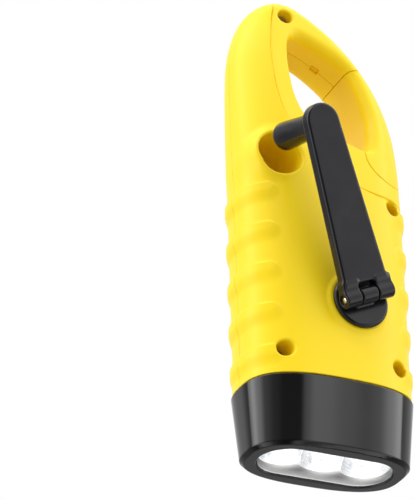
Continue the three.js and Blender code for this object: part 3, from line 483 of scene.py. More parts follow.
def frame_points(grow):
    w, z0, z1, top, r = 14.0 + grow, 22.9 - grow, 66.8, 71.2 + grow, 2.2
    q = lambda a, b, c, n=8: [tuple((1 - t) ** 2 * np.array(a) + 2 * t * (1 - t) * np.array(b) + t * t * np.array(c))
                              for t in np.linspace(0, 1, n, endpoint=False)]
    p = arc(w - r, z0 + r, r, -90, 0, 8)
    p += q((w, z1), (w, z1 + 1.9), (w - 2.2, z1 + 2.5)) + q((w - 2.2, z1 + 2.5), (w * .45, top), (0, top))
    p += q((0, top), (-w * .45, top), (-w + 2.2, z1 + 2.5)) + q((-w + 2.2, z1 + 2.5), (-w, z1 + 1.9), (-w, z1))
    p += [(-w, z1)] + arc(-w + r, z0 + r, r, 180, 270, 8)
    return p


D_FRAME = Field(frame_points(0), (-18, 18), (18, 76), 0.2)


def front_shell(x, y, z):
    f = smax(shell_body(x, y, z), y + SPLIT, 0.12)
    f = smax(f, -np.maximum(D_FRAME(x, z) - GAP, y + 10.5), 0.28)
    return np.maximum(f, -np.maximum(stadium_uv(x, z, 44.3, 46.5, 6.9), -2.7 - y))


def rear_shell(x, y, z):
    f = shell_body(x, y, z)
    tube = form(x, y, z) + 0.8
    u, v = uv(x, z)
    # raised lip round the knob recess, soft on the outside
    lip = smax(stadium_uv(x, z, 44.6, 46.1, 6.5), y - 11.35, 1.5)
    f = pmin(f, np.maximum(lip, 4 - y), 2.8)
    seat = smax(cyl(x, z, *HUB, 8.2), y - 14.85, 0.45)
    f = smin(f, np.maximum(seat, 12.3 - y), 1.1)
    f = smax(f, SPLIT - y, 0.12)
    f = np.minimum(f, np.maximum(np.maximum(np.maximum(stadium_uv(x, z, 44.3, 46.5, 6.6), y - 9.0), -2.4 - y), tube))
    f = smax(f, -np.maximum(stadium_uv(x, z, 44.3, 46.5, 5.2), -0.6 - y), 0.8)
    for sx, sz, sy in SCREWS:
        f = smax(f, -np.maximum(cyl(x, z, sx, sz, 2.12), sy - y), 0.65)
        f = np.maximum(f, -np.maximum(cyl(x, z, sx, sz, 1.5), y - sy - 1))
    d = cyl(x, z, *HUB, 0)
    f = np.maximum(f, -np.maximum(d - 4.7, y - 13.7))
    return np.maximum(f, -(d - 3.35))


def gate(x, y, z):
    f = smax(skin(x, y, z), gate_zone(x, z), 0.25)
    d = np.hypot(x - GATE_P[0], z - GATE_P[1])
    slot = np.minimum(boxd(x, 0 * y, z, -40, 0, -1, 1, 70, 88.2), d - 7.1)
    f = smax(f, -np.maximum(slot, np.abs(y) - 4.0), 0.2)
    f = smax(f, -np.maximum(d - 1.3, 11.3 - np.abs(y)), 0.4)
    return np.maximum(f, -np.maximum(d - 1.4, np.abs(y) - 9.0))


# ------------------------------------------------------------------ head
def bezel(x, y, z):
    t = z / RIM_Z
    a, b = 21.6 + 1.6 * t, 12.3 + 2.45 * t
    f = section(x, y, a, b, 2.7, 1.6 / RIM_Z, 2.45 / RIM_Z)
    top = smax(f, z - RIM_Z, 0.3)
    top = smax(top, (f - z + 0.9) / math.sqrt(2), 0.12)
    top = smax(top, -z, 0.12)
    collar = np.maximum(form(x, y, np.maximum(z, 18)) + 2.3, z - 21.2)
    tube = np.maximum(form(x, y, np.maximum(z, 18)) + 3.8, 14.3 - z)
    f1 = np.minimum(top, np.maximum(collar, 16.3 - z))
    inner = np.maximum(np.maximum(f + 2.1, 4.0 - z), z - 16)
    f1 = np.maximum(f1, -np.minimum(inner, tube))
    st = lambda hw, hd: rrect(x, y, hw, hd, hd - 0.05)
    f1 = smax(f1, -np.maximum(st(18.0, 8.0), z - 5), 0.3)
    return np.maximum(f1, -np.maximum(np.maximum(st(19.9, 9.9), 1.6 - z), z - 5))


def lens(x, y, z):
    st = lambda hw, hd: rrect(x, y, hw, hd, hd - 0.05)
    win = smax(smax(st(17.7, 7.7), 0.35 - z, 0.25), z - 1.75, 0.1)
    rim = smax(st(19.6, 9.6), np.abs(z - 2.35) - 0.85, 0.15)
    rim = smax(rim, -np.maximum(st(18.1, 8.1), 1.75 - z), 0.1)
    return np.minimum(win, rim)


def reflector(x, y, z):
    st = rrect(x, y, 19.4, 9.5, 9.45)
    f = smax(smax(st, 4.6 - z, 0.15), z - 11.9, 0.1)
    mouth = smax(rrect(x, y, 17.85, 7.85, 7.8), np.abs(z - 4.2) - 2.0, 0.15)
    f = np.minimum(f, mouth)
    for cx in LED_X:
        r = np.hypot(x - cx, y)
        # a deep bowl with fine steps, as moulded reflectors have
        wall = 1.9 + 3.68 * np.sqrt(np.clip((11.3 - z) / 6.7, 0, 1.36)) + 0.015 * np.sin(z * 2 * math.pi / 0.9)
        d = (r - wall) * 0.8
        f = smax(f, -np.minimum(np.maximum(d, z - 11.2), np.maximum(r - 1.9, z - 20)), 0.16)
    return f


# ------------------------------------------------------------------ solar face
def solar_frame(x, y, z):
    d = -y
    f = np.maximum(D_FRAME(x, z), 12.5 - d)
    ridge_x, zb, zt = 12.15, 24.7, 66.9
    side = (np.abs(x) - ridge_x + d - 16.3) / math.sqrt(2)
    foot = (zb - z + d - 16.3) / math.sqrt(2)
    crown = ((z - zt) * 0.36 + d - 16.3) / math.hypot(1, 0.36)
    f = smax(f, side, 0.45)
    f = smax(f, foot, 0.12)
    f = smax(f, crown, 0.12)
    f = smax(f, d - 16.29, 0.1)
    # sloping band inside the ridge, then the straight recess of the cell
    cz, hz = (zb + zt) / 2, (zt - zb) / 2
    s = rrect(x, z - cz, ridge_x - 0.15, hz - 0.15, 1.1)
    well = np.maximum(s, (16.3 + s * 0.55 - d) / math.hypot(1, 0.55))
    f = smax(f, -well, 0.1)
    hole = np.maximum(rrect(x, z - 45.4, 9.75, 18.0, 1.5), 14.5 - d)
    f = smax(f, -hole, 0.12)
    under = np.maximum(rrect(x, z - 45.4, 9.3, 17.7, 0.3), 13.7 - d)
    f = np.maximum(f, -under)
    for x0, z0, z1, y0, y1 in ((6, 21.2, 24, 11.2, 12.3), (6, 70, 72.6, 10.6, 11.6), (6, 23.4, 26, 11.2, 12.6),
                               (6, 68, 70.6, 10.6, 12.6)):
        f = np.minimum(f, boxd(x, d, z, -x0, x0, y0, y1, z0, z1))
    return f


def solar_cell(x, y, z):
    return smax(rrect(x, z - 45.4, 9.0, 17.4, 0.6), np.abs(y + 14.25) - 0.25, 0.06)


# ------------------------------------------------------------------ crank (u along the arm, v across, w outwards)
def barrel(u, v, w, v0, v1, r=2.15):
    return smax(np.hypot(u, w) - r, np.abs(v - (v0 + v1) / 2) - (v1 - v0) / 2, 0.35)


def crank_arm(u, v, w):
    half = 6.9 - 0.0461 * u
    plan = np.where(u < ARM_LEN, np.abs(v) - half, np.hypot(u - ARM_LEN, v) - 4.85)
    plan = smax(plan, 3.2 - u, 0.6)
    f = smax(plan, np.abs(w) - 1.6, 0.75)
    for v0, v1 in ((-7.6, -2.7), (2.7, 7.2)):
        lobe = barrel(u, v, w, v0, v1)
        c, hw = (v0 + v1) / 2, (v1 - v0) / 2
        web = smax(smax(np.abs(v - c) - hw, np.abs(w) - 1.5, 0.4), np.abs(u - 2.1) - 2.1, 0.5)
        f = smin(f, smin(lobe, web, 0.5), 0.9)
    f = smax(f, -boxd(u, v, w, -4, 2.75, -2.7, 2.7, -4, 4), 0.15)
    f = smax(f, -(np.hypot(u, w) - 0.92), 0.08)
    f = smax(f, -np.maximum(np.hypot(u, w) - 1.35, 6.9 - v), 0.1)
    return np.maximum(f, -np.maximum(np.hypot(u - ARM_LEN, v) - 1.25, w))


def crank_hub(x, y, z):
    u, v = uv(x, z)
    w = y - FOLD_Y
    r = np.hypot(x - HUB[0], z - HUB[1])
    disc = smax(r - 7.5, np.abs(y - 15.825) - 0.675, 0.15)
    disc = smax(disc, (r - 7.5 + y - 16.5 + 0.5) / math.sqrt(2), 0.15)
    knuckle = barrel(u, v, w, -2.4, 2.4)
    web = smax(smax(np.abs(v) - 2.4, np.abs(u) - 1.5, 0.3), np.abs(w + 1.4) - 1.4, 0.1)
    f = smin(disc, smin(knuckle, web, 0.4), 0.7)
    f = np.minimum(f, smax(r - 3.0, np.abs(y - 11.9) - 3.4, 0.15))
    return smax(f, -(np.hypot(u, w) - 0.92), 0.12)


lift = math.radians(REST_LIFT)
LOCAL = np.stack([U, V, W], 1) @ np.array([[math.cos(lift), 0, -math.sin(lift)], [0, 1, 0],
                                            [math.sin(lift), 0, math.cos(lift)]])
AT = np.array([HUB[0], FOLD_Y, HUB[1]])


def to_world(p):
    return Vector((LOCAL @ np.array(p, float)) + AT)


def screw(x, y, z):
    """One screw about its own axis, its seat at y = 0."""
    r = np.hypot(x, z)
    f = smax(r - 2.05, np.abs(y - 1.1) - 0.8, 0.25)
    f = smax(f, (r * 0.35 + y - 2.25) / 1.06, 0.15)
    for p, q in ((x, z), (z, x)):
        cross = np.maximum(np.maximum(np.abs(p) - 1.25, np.abs(q) - 0.3), 1.15 - y)
        f = smax(f, -cross, 0.05)
    return f


# ------------------------------------------------------------------ materials
def shader(name, color, rough, metal=0.0, spread=0.0, scale=900.0, bump=0.0, bump_scale=5000.0, rough_spread=0.05,
           **extra):
    """A moulded or metal finish: drifting colour and roughness, and a fine surface grain."""
    m = bpy.data.materials.new(name)
    m.use_nodes = True
    nt = m.node_tree
    b = nt.nodes["Principled BSDF"]
    b.inputs["Metallic"].default_value = metal
    for k, v in extra.items():
        b.inputs[k.replace("_", " ")].default_value = v
    tc = nt.nodes.new("ShaderNodeTexCoord")
    drift = nt.nodes.new("ShaderNodeTexNoise")
    drift.inputs["Scale"].default_value = scale
    drift.inputs["Detail"].default_value = 4
    nt.links.new(tc.outputs["Object"], drift.inputs["Vector"])
    ramp = nt.nodes.new("ShaderNodeMix")
    ramp.data_type = "RGBA"
    lo, hi = [max(0, c * (1 - spread)) for c in color], [min(1, c * (1 + spread)) for c in color]
    ramp.inputs["A"].default_value = (*lo, 1)
    ramp.inputs["B"].default_value = (*hi, 1)
    nt.links.new(drift.outputs["Fac"], ramp.inputs["Factor"])
    nt.links.new(ramp.outputs["Result"], b.inputs["Base Color"])
    rm = nt.nodes.new("ShaderNodeMapRange")
    rm.inputs["From Min"].default_value, rm.inputs["From Max"].default_value = 0.3, 0.7
    rm.inputs["To Min"].default_value = max(0.02, rough - rough_spread)
    rm.inputs["To Max"].default_value = rough + rough_spread
    nt.links.new(drift.outputs["Fac"], rm.inputs["Value"])
    nt.links.new(rm.outputs["Result"], b.inputs["Roughness"])
    if bump:
        grain = nt.nodes.new("ShaderNodeTexNoise")
        grain.inputs["Scale"].default_value = bump_scale
        grain.inputs["Detail"].default_value = 3
        nt.links.new(tc.outputs["Object"], grain.inputs["Vector"])
        bp = nt.nodes.new("ShaderNodeBump")
        bp.inputs["Strength"].default_value = bump
        bp.inputs["Distance"].default_value = 0.0001
        nt.links.new(grain.outputs["Fac"], bp.inputs["Height"])
        nt.links.new(bp.outputs["Normal"], b.inputs["Normal"])
    return m


YELLOW = shader("yellow_body", (0.95, 0.69, 0.005), 0.4, spread=0.02, scale=60, bump=0.12, bump_scale=6500,
                rough_spread=0.04, Specular_IOR_Level=0.3)
BLACK = shader("black_gloss", (0.0045, 0.0045, 0.005), 0.1, spread=0.25, scale=120, bump=0.03, bump_scale=2500,
               rough_spread=0.03, Specular_IOR_Level=0.56)
FRAME_BLACK = shader("frame_black_gloss", (0.009, 0.009, 0.0105), 0.18, spread=0.2, scale=150, bump=0.05, bump_scale=4000,
                     Specular_IOR_Level=0.42)
CRANK = shader("crank_black_satin", (0.0072, 0.0073, 0.0096), 0.2, spread=0.2, scale=200, bump=0.1, bump_scale=5200,
               Specular_IOR_Level=0.36)
STEEL = shader("steel_turned", (0.55, 0.56, 0.58), 0.26, 1.0, spread=0.1, scale=900, bump=0.08, bump_scale=7000)
SCREW = shader("screw_zinc", (0.42, 0.41, 0.4), 0.34, 1.0, spread=0.2, scale=1500, bump=0.15, bump_scale=6000,
               rough_spread=0.1)
CHROME = shader("reflector_chrome", (0.9, 0.91, 0.92), 0.2, 1.0, spread=0.03, scale=500, bump=0.02, bump_scale=1500)
RUBBER = shader("seal_black_rubber", (0.02, 0.02, 0.02), 0.75, spread=0.3, scale=700, bump=0.4, bump_scale=4000)
BOARD_W = shader("board_white_mask", (0.78, 0.8, 0.78), 0.45, spread=0.05, scale=1200, bump=0.1)
BOARD_G = shader("board_green_mask", (0.012, 0.14, 0.045), 0.32, spread=0.3, scale=900, bump=0.25, bump_scale=2400)
WRAP = shader("battery_wrap_blue", (0.025, 0.2, 0.48), 0.28, spread=0.1, scale=300, bump=0.08, bump_scale=1500)
ZINC = shader("zinc_plate", (0.6, 0.61, 0.63), 0.34, 1.0, spread=0.12, scale=700, bump=0.12)
GEAR = shader("gear_white_nylon", (0.78, 0.76, 0.69), 0.48, spread=0.04, scale=600, bump=0.12)
SWITCH = shader("switch_black_nylon", (0.022, 0.022, 0.022), 0.5, spread=0.3, scale=900, bump=0.25)
COPPER = shader("copper_winding", (0.62, 0.24, 0.09), 0.3, 1.0, spread=0.2, scale=1600, bump=0.8, bump_scale=2600)
BRASS = shader("bushing_bronze", (0.55, 0.36, 0.14), 0.32, 1.0, spread=0.15, scale=1500, bump=0.2)
FERRITE = shader("magnet_ferrite", (0.045, 0.045, 0.05), 0.5, 0.3, spread=0.3, scale=1800, bump=0.35)
CABLE = shader("cable_red_pvc", (0.5, 0.02, 0.015), 0.45, spread=0.1, scale=700, bump=0.15)


def cell_material():
    """Thin-film cell: brown with fine pale cuts across it, and painted light that makes it darker towards the top."""
    m = shader("solar_film", (0.12, 0.05, 0.043), 0.16, spread=0.08, scale=260, rough_spread=0.04,
               Specular_IOR_Level=0.36)
    nt = m.node_tree
    b = nt.nodes["Principled BSDF"]
    b.inputs["Coat Weight"].default_value = 0.25
    b.inputs["Coat Roughness"].default_value = 0.04
    tc = nt.nodes["Texture Coordinate"]
    sep = nt.nodes.new("ShaderNodeSeparateXYZ")
    nt.links.new(tc.outputs["Object"], sep.inputs[0])
    # painted light: the colour runs from dark at the top to lighter and pinker at the foot, standing in for the studio
    # light the cell reflects
    up = nt.nodes.new("ShaderNodeMapRange")
    up.inputs["From Min"].default_value, up.inputs["From Max"].default_value = 0.026, 0.058
    nt.links.new(sep.outputs["Z"], up.inputs["Value"])
    painted_light_tone = nt.nodes.new("ShaderNodeMix")
    painted_light_tone.data_type = "RGBA"
    painted_light_tone.inputs["A"].default_value = (0.42, 0.215, 0.182, 1)
    painted_light_tone.inputs["B"].default_value = (0.088, 0.040, 0.034, 1)
    nt.links.new(up.outputs["Result"], painted_light_tone.inputs["Factor"])
    # cuts every 3.66 mm
    div = nt.nodes.new("ShaderNodeMath")
    div.operation = "DIVIDE"
    div.inputs[1].default_value = 0.00366
    nt.links.new(sep.outputs["Z"], div.inputs[0])
    fr = nt.nodes.new("ShaderNodeMath")
    fr.operation = "FRACT"
    nt.links.new(div.outputs[0], fr.inputs[0])
    sub = nt.nodes.new("ShaderNodeMath")
    sub.operation = "SUBTRACT"
    sub.inputs[1].default_value = 0.5
    nt.links.new(fr.outputs[0], sub.inputs[0])
    ab = nt.nodes.new("ShaderNodeMath")
    ab.operation = "ABSOLUTE"
    nt.links.new(sub.outputs[0], ab.inputs[0])
    line = nt.nodes.new("ShaderNodeMapRange")
    line.inputs["From Min"].default_value, line.inputs["From Max"].default_value = 0.016, 0.034
    line.inputs["To Min"].default_value, line.inputs["To Max"].default_value = 1, 0
    nt.links.new(ab.outputs[0], line.inputs["Value"])
    mix = nt.nodes.new("ShaderNodeMix")
    mix.data_type = "RGBA"
    nt.links.new(line.outputs["Result"], mix.inputs["Factor"])
    nt.links.new(painted_light_tone.outputs["Result"], mix.inputs["A"])
    mix.inputs["B"].default_value = (0.56, 0.42, 0.37, 1)
    nt.links.new(mix.outputs["Result"], b.inputs["Base Color"])
    return m


CELL = cell_material()


def lens_material():
    m = bpy.data.materials.new("lens_clear")
    m.use_nodes = True
    nt = m.node_tree
    nt.nodes.clear()
    out = nt.nodes.new("ShaderNodeOutputMaterial")
    mix = nt.nodes.new("ShaderNodeMixShader")
    clear = nt.nodes.new("ShaderNodeBsdfTransparent")
    clear.inputs["Color"].default_value = (0.97, 0.98, 0.99, 1)
    gloss = nt.nodes.new("ShaderNodeBsdfPrincipled")
    gloss.inputs["Base Color"].default_value = (0.9, 0.92, 0.94, 1)
    gloss.inputs["Roughness"].default_value = 0.04
    fres = nt.nodes.new("ShaderNodeFresnel")
    fres.inputs["IOR"].default_value = 1.45
    tc = nt.nodes.new("ShaderNodeTexCoord")
    noise = nt.nodes.new("ShaderNodeTexNoise")
    noise.inputs["Scale"].default_value = 300
    nt.links.new(tc.outputs["Object"], noise.inputs["Vector"])
    mr = nt.nodes.new("ShaderNodeMapRange")
    mr.inputs["To Min"].default_value, mr.inputs["To Max"].default_value = 0.03, 0.09
    nt.links.new(noise.outputs["Fac"], mr.inputs["Value"])
    nt.links.new(mr.outputs["Result"], gloss.inputs["Roughness"])
    geo = nt.nodes.new("ShaderNodeNewGeometry")
    front = nt.nodes.new("ShaderNodeMath")
    front.operation = "SUBTRACT"
    front.inputs[0].default_value = 1.0
    nt.links.new(geo.outputs["Backfacing"], front.inputs[1])
    share = nt.nodes.new("ShaderNodeMath")
    share.operation = "MULTIPLY"
    nt.links.new(fres.outputs[0], share.inputs[0])
    nt.links.new(front.outputs[0], share.inputs[1])
    nt.links.new(share.outputs[0], mix.inputs[0])
    # painted glare: the window glows as emission, brightest round the three lamps, standing in for the light they leave
    # on it
    def maths(op, a, b, *more):
        node = nt.nodes.new("ShaderNodeMath")
        node.operation = op
        for socket, v in zip(node.inputs, (a, b, *more)):
            if isinstance(v, (int, float)):
                socket.default_value = v
            else:
                nt.links.new(v, socket)
        return node.outputs[0]

    def fade(value, near, far):
        node = nt.nodes.new("ShaderNodeMapRange")
        node.interpolation_type = "SMOOTHSTEP"
        node.inputs["From Min"].default_value, node.inputs["From Max"].default_value = near, far
        node.inputs["To Min"].default_value, node.inputs["To Max"].default_value = 1, 0
        nt.links.new(value, node.inputs["Value"])
        return node.outputs["Result"]

    sep = nt.nodes.new("ShaderNodeSeparateXYZ")
    nt.links.new(tc.outputs["Object"], sep.inputs[0])
    off = maths("ABSOLUTE", sep.outputs["Y"], 0.0)
    total = maths("MULTIPLY_ADD", fade(off, 0.0075, 0.0025), 0.3, 0.1)
    for cx in LED_X:
        away = nt.nodes.new("ShaderNodeVectorMath")
        away.operation = "DISTANCE"
        away.inputs[1].default_value = (cx / 1000, 0.0, 0.0003)
        nt.links.new(tc.outputs["Object"], away.inputs[0])
        painted_glare_spot = fade(away.outputs["Value"], 0.0006, 0.0082)
        total = maths("ADD", total, maths("MULTIPLY", maths("MULTIPLY", painted_glare_spot, painted_glare_spot), 1.1))
    total = maths("MULTIPLY", total, fade(sep.outputs["Z"], 0.0005, 0.0008))
    painted_glare = nt.nodes.new("ShaderNodeEmission")
    painted_glare.inputs["Color"].default_value = (1, 0.99, 0.97, 1)
    nt.links.new(total, painted_glare.inputs["Strength"])
    both = nt.nodes.new("ShaderNodeAddShader")
    nt.links.new(clear.outputs[0], both.inputs[0])
    nt.links.new(painted_glare.outputs[0], both.inputs[1])
    nt.links.new(both.outputs[0], mix.inputs[1])
    nt.links.new(gloss.outputs[0], mix.inputs[2])
    nt.links.new(mix.outputs[0], out.inputs["Surface"])
    return m


LENS = lens_material()


def led_material():
    m = shader("led_lit", (0.95, 0.93, 0.85), 0.2, spread=0.03, scale=1500)
    b = m.node_tree.nodes["Principled BSDF"]
    b.inputs["Emission Color"].default_value = (1.0, 0.985, 0.95, 1)
    b.inputs["Emission Strength"].default_value = 45.0
    return m


LED = led_material()


def dress(ob, material, slot, body, *replaced):
    ob.data.materials.clear()
    ob.data.materials.append(material)
    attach(ob, body)
    if replaced:
        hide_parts(*replaced)
    return ob


# ------------------------------------------------------------------ pieces
dress(carve("front_shell_skin", front_shell, (-25.2, -17.2, 17), (25.6, 1.0, 135.6), 0.5, 2), YELLOW, "yellow_plastic",
      "body", "front_shell")
dress(carve("rear_shell_skin", rear_shell, (-25.2, -3.4, 17), (25.6, 16, 135.6), 0.5, 2), YELLOW, "yellow_plastic",
      "body", "rear_shell")
dress(carve("gate_skin", gate, (-25.4, -14.5, 78), (-4.5, 14.5, 118), 0.45, 2), YELLOW, "yellow_plastic", "gate",
      "carabiner_gate")
dress(carve("head_ring", bezel, (-25, -15.6, -0.9), (25, 15.6, 22.2), 0.5, 2), BLACK, "black_gloss_plastic", "body",
      "head_bezel")
dress(carve("front_window", lens, (-20.6, -10.6, -0.5), (20.6, 10.6, 4), 0.35, 1), LENS, "clear_lens", "body", "lens")
dress(carve("reflector_bowls", reflector, (-20.4, -10.4, 1.4), (20.4, 10.4, 12.8), 0.4, 1), CHROME, "reflector_chrome",
      "body", "reflector")
dress(carve("solar_surround", solar_frame, (-15, -17.2, 20.4), (15, -9.8, 73.4), 0.36, 2), FRAME_BLACK, "frame_black",
      "body", "solar_frame")
dress(carve("solar_film_cell", solar_cell, (-9.8, -15, 27.2), (9.8, -13.4, 63.6), 0.3, 1), CELL, "solar_cell", "body",
      "solar_cell")
dress(carve("crank_drive_hub", crank_hub, (-12.2, 7.6, 31.6), (4.6, 22, 48.4), 0.32, 2), CRANK, "crank_black",
      "crank_hub", "crank_hub")
dress(carve("crank_swing_arm", crank_arm, (-3.2, -8.6, -3), (50.6, 8.2, 3), 0.34, 2, (LOCAL, AT)), CRANK,
      "crank_black", "crank", "crank_arm")
for i, (sx, sz, sy) in enumerate(SCREWS):
    ob = carve(f"case_screw_{i + 1}", screw, (-2.6, -0.4, -2.6), (2.6, 2.6, 2.6), 0.16, 0,
               (np.eye(3), np.array([sx, sy, sz])))
    dress(ob, SCREW, "screw_steel", "body")
    shank = lathe(f"case_screw_{i + 1}_shank", [(0, 0.6), (1.2, 0.6), (1.2, SCREW_TIP[i] - sy + 0.8), (0.6, SCREW_TIP[i] - sy),
                                                (0, SCREW_TIP[i] - sy)],
                  (sx, sy, sz), (0, 1, 0), (1, 0, 0), 32)
    dress(shank, SCREW, "screw_steel", "body")
    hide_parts(f"shell_screw_{i + 1}")

# knob: turned grip with a soft waist, its free end dished round the pin head
DEEP = FOLD_Y - 1.6
axis = LOCAL @ np.array([0, 0, -1.0])
knob_profile = [(1.35, 2.0), (2.9, 2.0)] + arc(2.95, 2.35, 0.35, -90, -5, 4)[1:] + [(3.33, 3.4), (3.27, 5.0), (3.3, 7.5),
                (3.4, 10.0), (3.55, 12.5), (3.66, 14.8)] + arc(3.0, DEEP - 0.7, 0.7, 0, 90, 6) + \
               arc(2.5, DEEP - 0.3, 0.3, 90, 180, 4) + [(2.2, DEEP - 1.6), (1.35, DEEP - 1.6)]
dress(lathe("crank_grip_knob", knob_profile, to_world((ARM_LEN, 0, 0)), axis, LOCAL[:, 1], 96), CRANK, "crank_black",
      "knob", "crank_knob")
pin_profile = [(0, 0.4), (0.8, 0.4), (1.1, 0.7), (1.1, DEEP - 1.3), (1.55, DEEP - 1.3), (1.9, DEEP - 1.05),
               (1.9, DEEP - 0.75), (1.6, DEEP - 0.42), (1.0, DEEP - 0.4), (0.85, DEEP - 0.62), (0, DEEP - 0.66)]
dress(lathe("knob_rivet", pin_profile, to_world((ARM_LEN, 0, 0)), axis, LOCAL[:, 1], 48), STEEL, "steel", "crank",
      "knob_pin")
hinge = [(0, -7.35), (0.5, -7.3), (0.8, -7.05), (0.8, 6.8), (0.72, 6.95), (0.5, 7.05), (0.25, 7.1), (0, 7.12)]
dress(lathe("hinge_rod", hinge, to_world((0, 0, 0)), LOCAL[:, 1], LOCAL[:, 0], 40), STEEL, "steel", "crank",
      "crank_hinge_pin")
rod = [(0, -8.8), (0.95, -8.8), (1.3, -8.45), (1.3, 8.45), (0.95, 8.8), (0, 8.8)]
dress(lathe("gate_rod", rod, (GATE_P[0], 0, GATE_P[1]), (0, 1, 0), (1, 0, 0), 40), STEEL, "steel", "body", "gate_pin")
# side button: domed cap with two fine rings
cap = [(0, 0), (5.3, 0), (5.3, 0.9), (4.4, 0.9), (4.4, 2.3)] + arc(3.9, 2.45, 0.5, 0, 70, 5) + \
      [(3.3, 3.2), (3.1, 3.12), (2.9, 3.28), (2.2, 3.45), (2.05, 3.36), (1.85, 3.52), (0.9, 3.64), (0, 3.66)]
dress(lathe("side_button", cap, (-20.1, 0, BUTTON_Z), (-1, 0, 0), (0, 0, 1), 72), CRANK, "switch_black", "button",
      "power_button")
for i, cx in enumerate(LED_X):
    dome = [(0, 9.9), (0.45, 9.93), (0.85, 10.1), (1.2, 10.42), (1.38, 10.8), (1.42, 11.0), (1.62, 11.0), (1.7, 11.08),
            (1.7, 11.85), (1.6, 11.9), (0, 11.9)]
    dress(lathe(f"led_dome_{i + 1}", dome, (cx, 0, 0), (0, 0, 1), (1, 0, 0), 48), LED, "led_dome", "body",
          f"led_{i + 1}")

# CAD nodes that keep their shape and get a finish
for node, material in {
    "lens_seal": RUBBER, "led_board": BOARD_W, "main_board": BOARD_G, "battery_cell": WRAP, "battery_clip": ZINC,
    "switch_body": SWITCH, "gearbox_plate": GEAR, "gear_axle_2": STEEL, "gear_axle_3": STEEL,
    "generator_housing": ZINC, "generator_coil": COPPER, "crank_bushing": BRASS, "gate_spring": STEEL,
    "led_cable": CABLE, "crank_gear": GEAR, "compound_gear_2": GEAR, "compound_gear_3": GEAR,
    "rotor_shaft": STEEL, "rotor_magnet": FERRITE,
}.items():
    for s in NODES[node].material_slots:
        s.material = material

# ------------------------------------------------------------------ stage, light and camera
floor_mesh = bpy.data.meshes.new("stage_floor")
R = 1.6
floor_mesh.from_pydata([(-R, -R, -0.0002), (R, -R, -0.0002), (R, R, -0.0002), (-R, R, -0.0002)], [], [(0, 1, 2, 3)])
floor = bpy.data.objects.new("stage_floor", floor_mesh)
bpy.context.scene.collection.objects.link(floor)
fm = bpy.data.materials.new("stage_floor_pale")
fm.use_nodes = True
nt = fm.node_tree
nt.nodes.clear()
out = nt.nodes.new("ShaderNodeOutputMaterial")
mix = nt.nodes.new("ShaderNodeMixShader")
geo = nt.nodes.new("ShaderNodeNewGeometry")
pale = nt.nodes.new("ShaderNodeBsdfDiffuse")
pale.inputs["Color"].default_value = (0.86, 0.86, 0.86, 1)
gone = nt.nodes.new("ShaderNodeBsdfTransparent")
nt.links.new(geo.outputs["Backfacing"], mix.inputs[0])
nt.links.new(pale.outputs[0], mix.inputs[1])
nt.links.new(gone.outputs[0], mix.inputs[2])
nt.links.new(mix.outputs[0], out.inputs["Surface"])
floor_mesh.materials.append(fm)
floor.visible_shadow = False
floor.visible_glossy = False
floor.visible_diffuse = False
floor.visible_transmission = False

world = bpy.data.worlds.new("studio")
bpy.context.scene.world = world
world.use_nodes = True
nt = world.node_tree
nt.nodes.clear()
out = nt.nodes.new("ShaderNodeOutputWorld")
seen = nt.nodes.new("ShaderNodeBackground")
seen.inputs["Color"].default_value = (1, 1, 1, 1)
lit = nt.nodes.new("ShaderNodeBackground")
lit.inputs["Color"].default_value = (1, 1, 1, 1)
# a studio of tall soft strips: brightness by bearing, in degrees from the front of the crank side towards -X
STRIPS = [(-180, 0.9), (-125, 0.7), (-102, 0.3), (-94, 2.2), (-82, 3.9), (-62, 2.5), (-40, 0.75), (-15, 0.3), (2, 0.12),
          (24, 0.12), (31, 1.2), (38, 2.0), (46, 1.9), (58, 0.95), (66, 1.2), (80, 2.6), (95, 3.6), (99, 3.4), (103, 0.5),
          (125, 0.7), (180, 0.9)]
FRONT = math.radians(27.26)
tc = nt.nodes.new("ShaderNodeTexCoord")


def dot(vector):
    node = nt.nodes.new("ShaderNodeVectorMath")
    node.operation = "DOT_PRODUCT"
    node.inputs[1].default_value = vector
    nt.links.new(tc.outputs["Generated"], node.inputs[0])
    return node.outputs["Value"]


def maths(op, a, b, *more):
    node = nt.nodes.new("ShaderNodeMath")
    node.operation = op
    for socket, v in zip(node.inputs, (a, b, *more)):
        if isinstance(v, (int, float)):
            socket.default_value = v
        else:
            nt.links.new(v, socket)
    return node.outputs[0]


bearing = maths("ARCTAN2", dot((-math.cos(FRONT), math.sin(FRONT), 0)), dot((math.sin(FRONT), math.cos(FRONT), 0)))
ramp = nt.nodes.new("ShaderNodeValToRGB")
ramp.color_ramp.interpolation = "EASE"
nt.links.new(maths("MULTIPLY_ADD", bearing, 1 / (2 * math.pi), 0.5), ramp.inputs[0])
stops = ramp.color_ramp.elements
while len(stops) > 1:
    stops.remove(stops[-1])
for k, (deg, v) in enumerate(STRIPS):
    e = stops[0] if k == 0 else stops.new((deg + 180) / 360)
    e.position = (deg + 180) / 360
    e.color = (v / 4, v / 4, v / 4, 1)
height = nt.nodes.new("ShaderNodeMapRange")
height.inputs["From Min"].default_value, height.inputs["From Max"].default_value = -0.5, 0.45
height.inputs["To Min"].default_value, height.inputs["To Max"].default_value = 0.4, 1.2
nt.links.new(dot((0, 0, 1)), height.inputs["Value"])
path = nt.nodes.new("ShaderNodeLightPath")
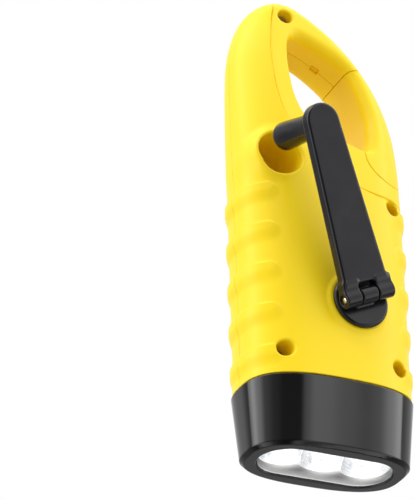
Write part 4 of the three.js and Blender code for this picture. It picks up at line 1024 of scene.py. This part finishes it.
# the strips, and an even soft fill that only the matt surfaces pick up
fill = maths("MULTIPLY", path.outputs["Is Diffuse Ray"], 0.44)
share = maths("MULTIPLY_ADD", path.outputs["Is Diffuse Ray"], -0.4, 1.0)
strips = maths("MULTIPLY", maths("MULTIPLY", ramp.outputs[0], 4.0), height.outputs["Result"])
nt.links.new(maths("ADD", maths("MULTIPLY", strips, share), fill), lit.inputs["Strength"])
mix = nt.nodes.new("ShaderNodeMixShader")
nt.links.new(path.outputs["Is Camera Ray"], mix.inputs[0])
nt.links.new(lit.outputs[0], mix.inputs[1])
nt.links.new(seen.outputs[0], mix.inputs[2])
nt.links.new(mix.outputs[0], out.inputs["Surface"])

a, e, roll = math.radians(27.26), math.radians(29.63), math.radians(-2.30)
to_cam = Vector((math.sin(a) * math.cos(e), math.cos(a) * math.cos(e), -math.sin(e)))
right = (-to_cam).cross(Vector((0, 0, 1))).normalized()
up = right.cross(-to_cam).normalized()
target = Vector((0, 0, 0.0628))


def area(name, direction, distance, width, height, power, color=(1, 1, 1)):
    """A softbox, placed by its direction from the object: (right, up, towards the camera)."""
    d = (right * direction[0] + up * direction[1] + to_cam * direction[2]).normalized()
    light = bpy.data.lights.new(name, "AREA")
    light.shape = "RECTANGLE"
    light.size, light.size_y = width, height
    light.energy = power
    light.color = color
    ob = bpy.data.objects.new(name, light)
    ob.location = target + d * distance
    ob.rotation_euler = (-d).to_track_quat("-Z", "Y").to_euler()
    bpy.context.scene.collection.objects.link(ob)
    return ob


area("softbox_top", (-0.2, 1.0, 0.15), 0.9, 0.75, 0.28, 2.2)

cam = bpy.data.cameras.new("camera")
cam_ob = bpy.data.objects.new("camera", cam)
bpy.context.scene.collection.objects.link(cam_ob)
cr = right * math.cos(roll) + up * math.sin(roll)
cu = up * math.cos(roll) - right * math.sin(roll)
rot = Matrix((cr, cu, to_cam)).transposed().to_4x4()
cam_ob.matrix_world = Matrix.Translation(target + to_cam * 0.5686) @ rot
cam.sensor_fit = "VERTICAL"
cam.sensor_height = 36
cam.lens = 36 * 2188 / 500
cam.shift_x = -109.4 / 500
cam.shift_y = -2.8 / 500
cam.clip_start, cam.clip_end = 0.01, 20
bpy.context.scene.camera = cam_ob
bpy.context.scene.view_settings.view_transform = "Standard"
bpy.context.scene.view_settings.look = "None"

bpy.context.view_layer.update()
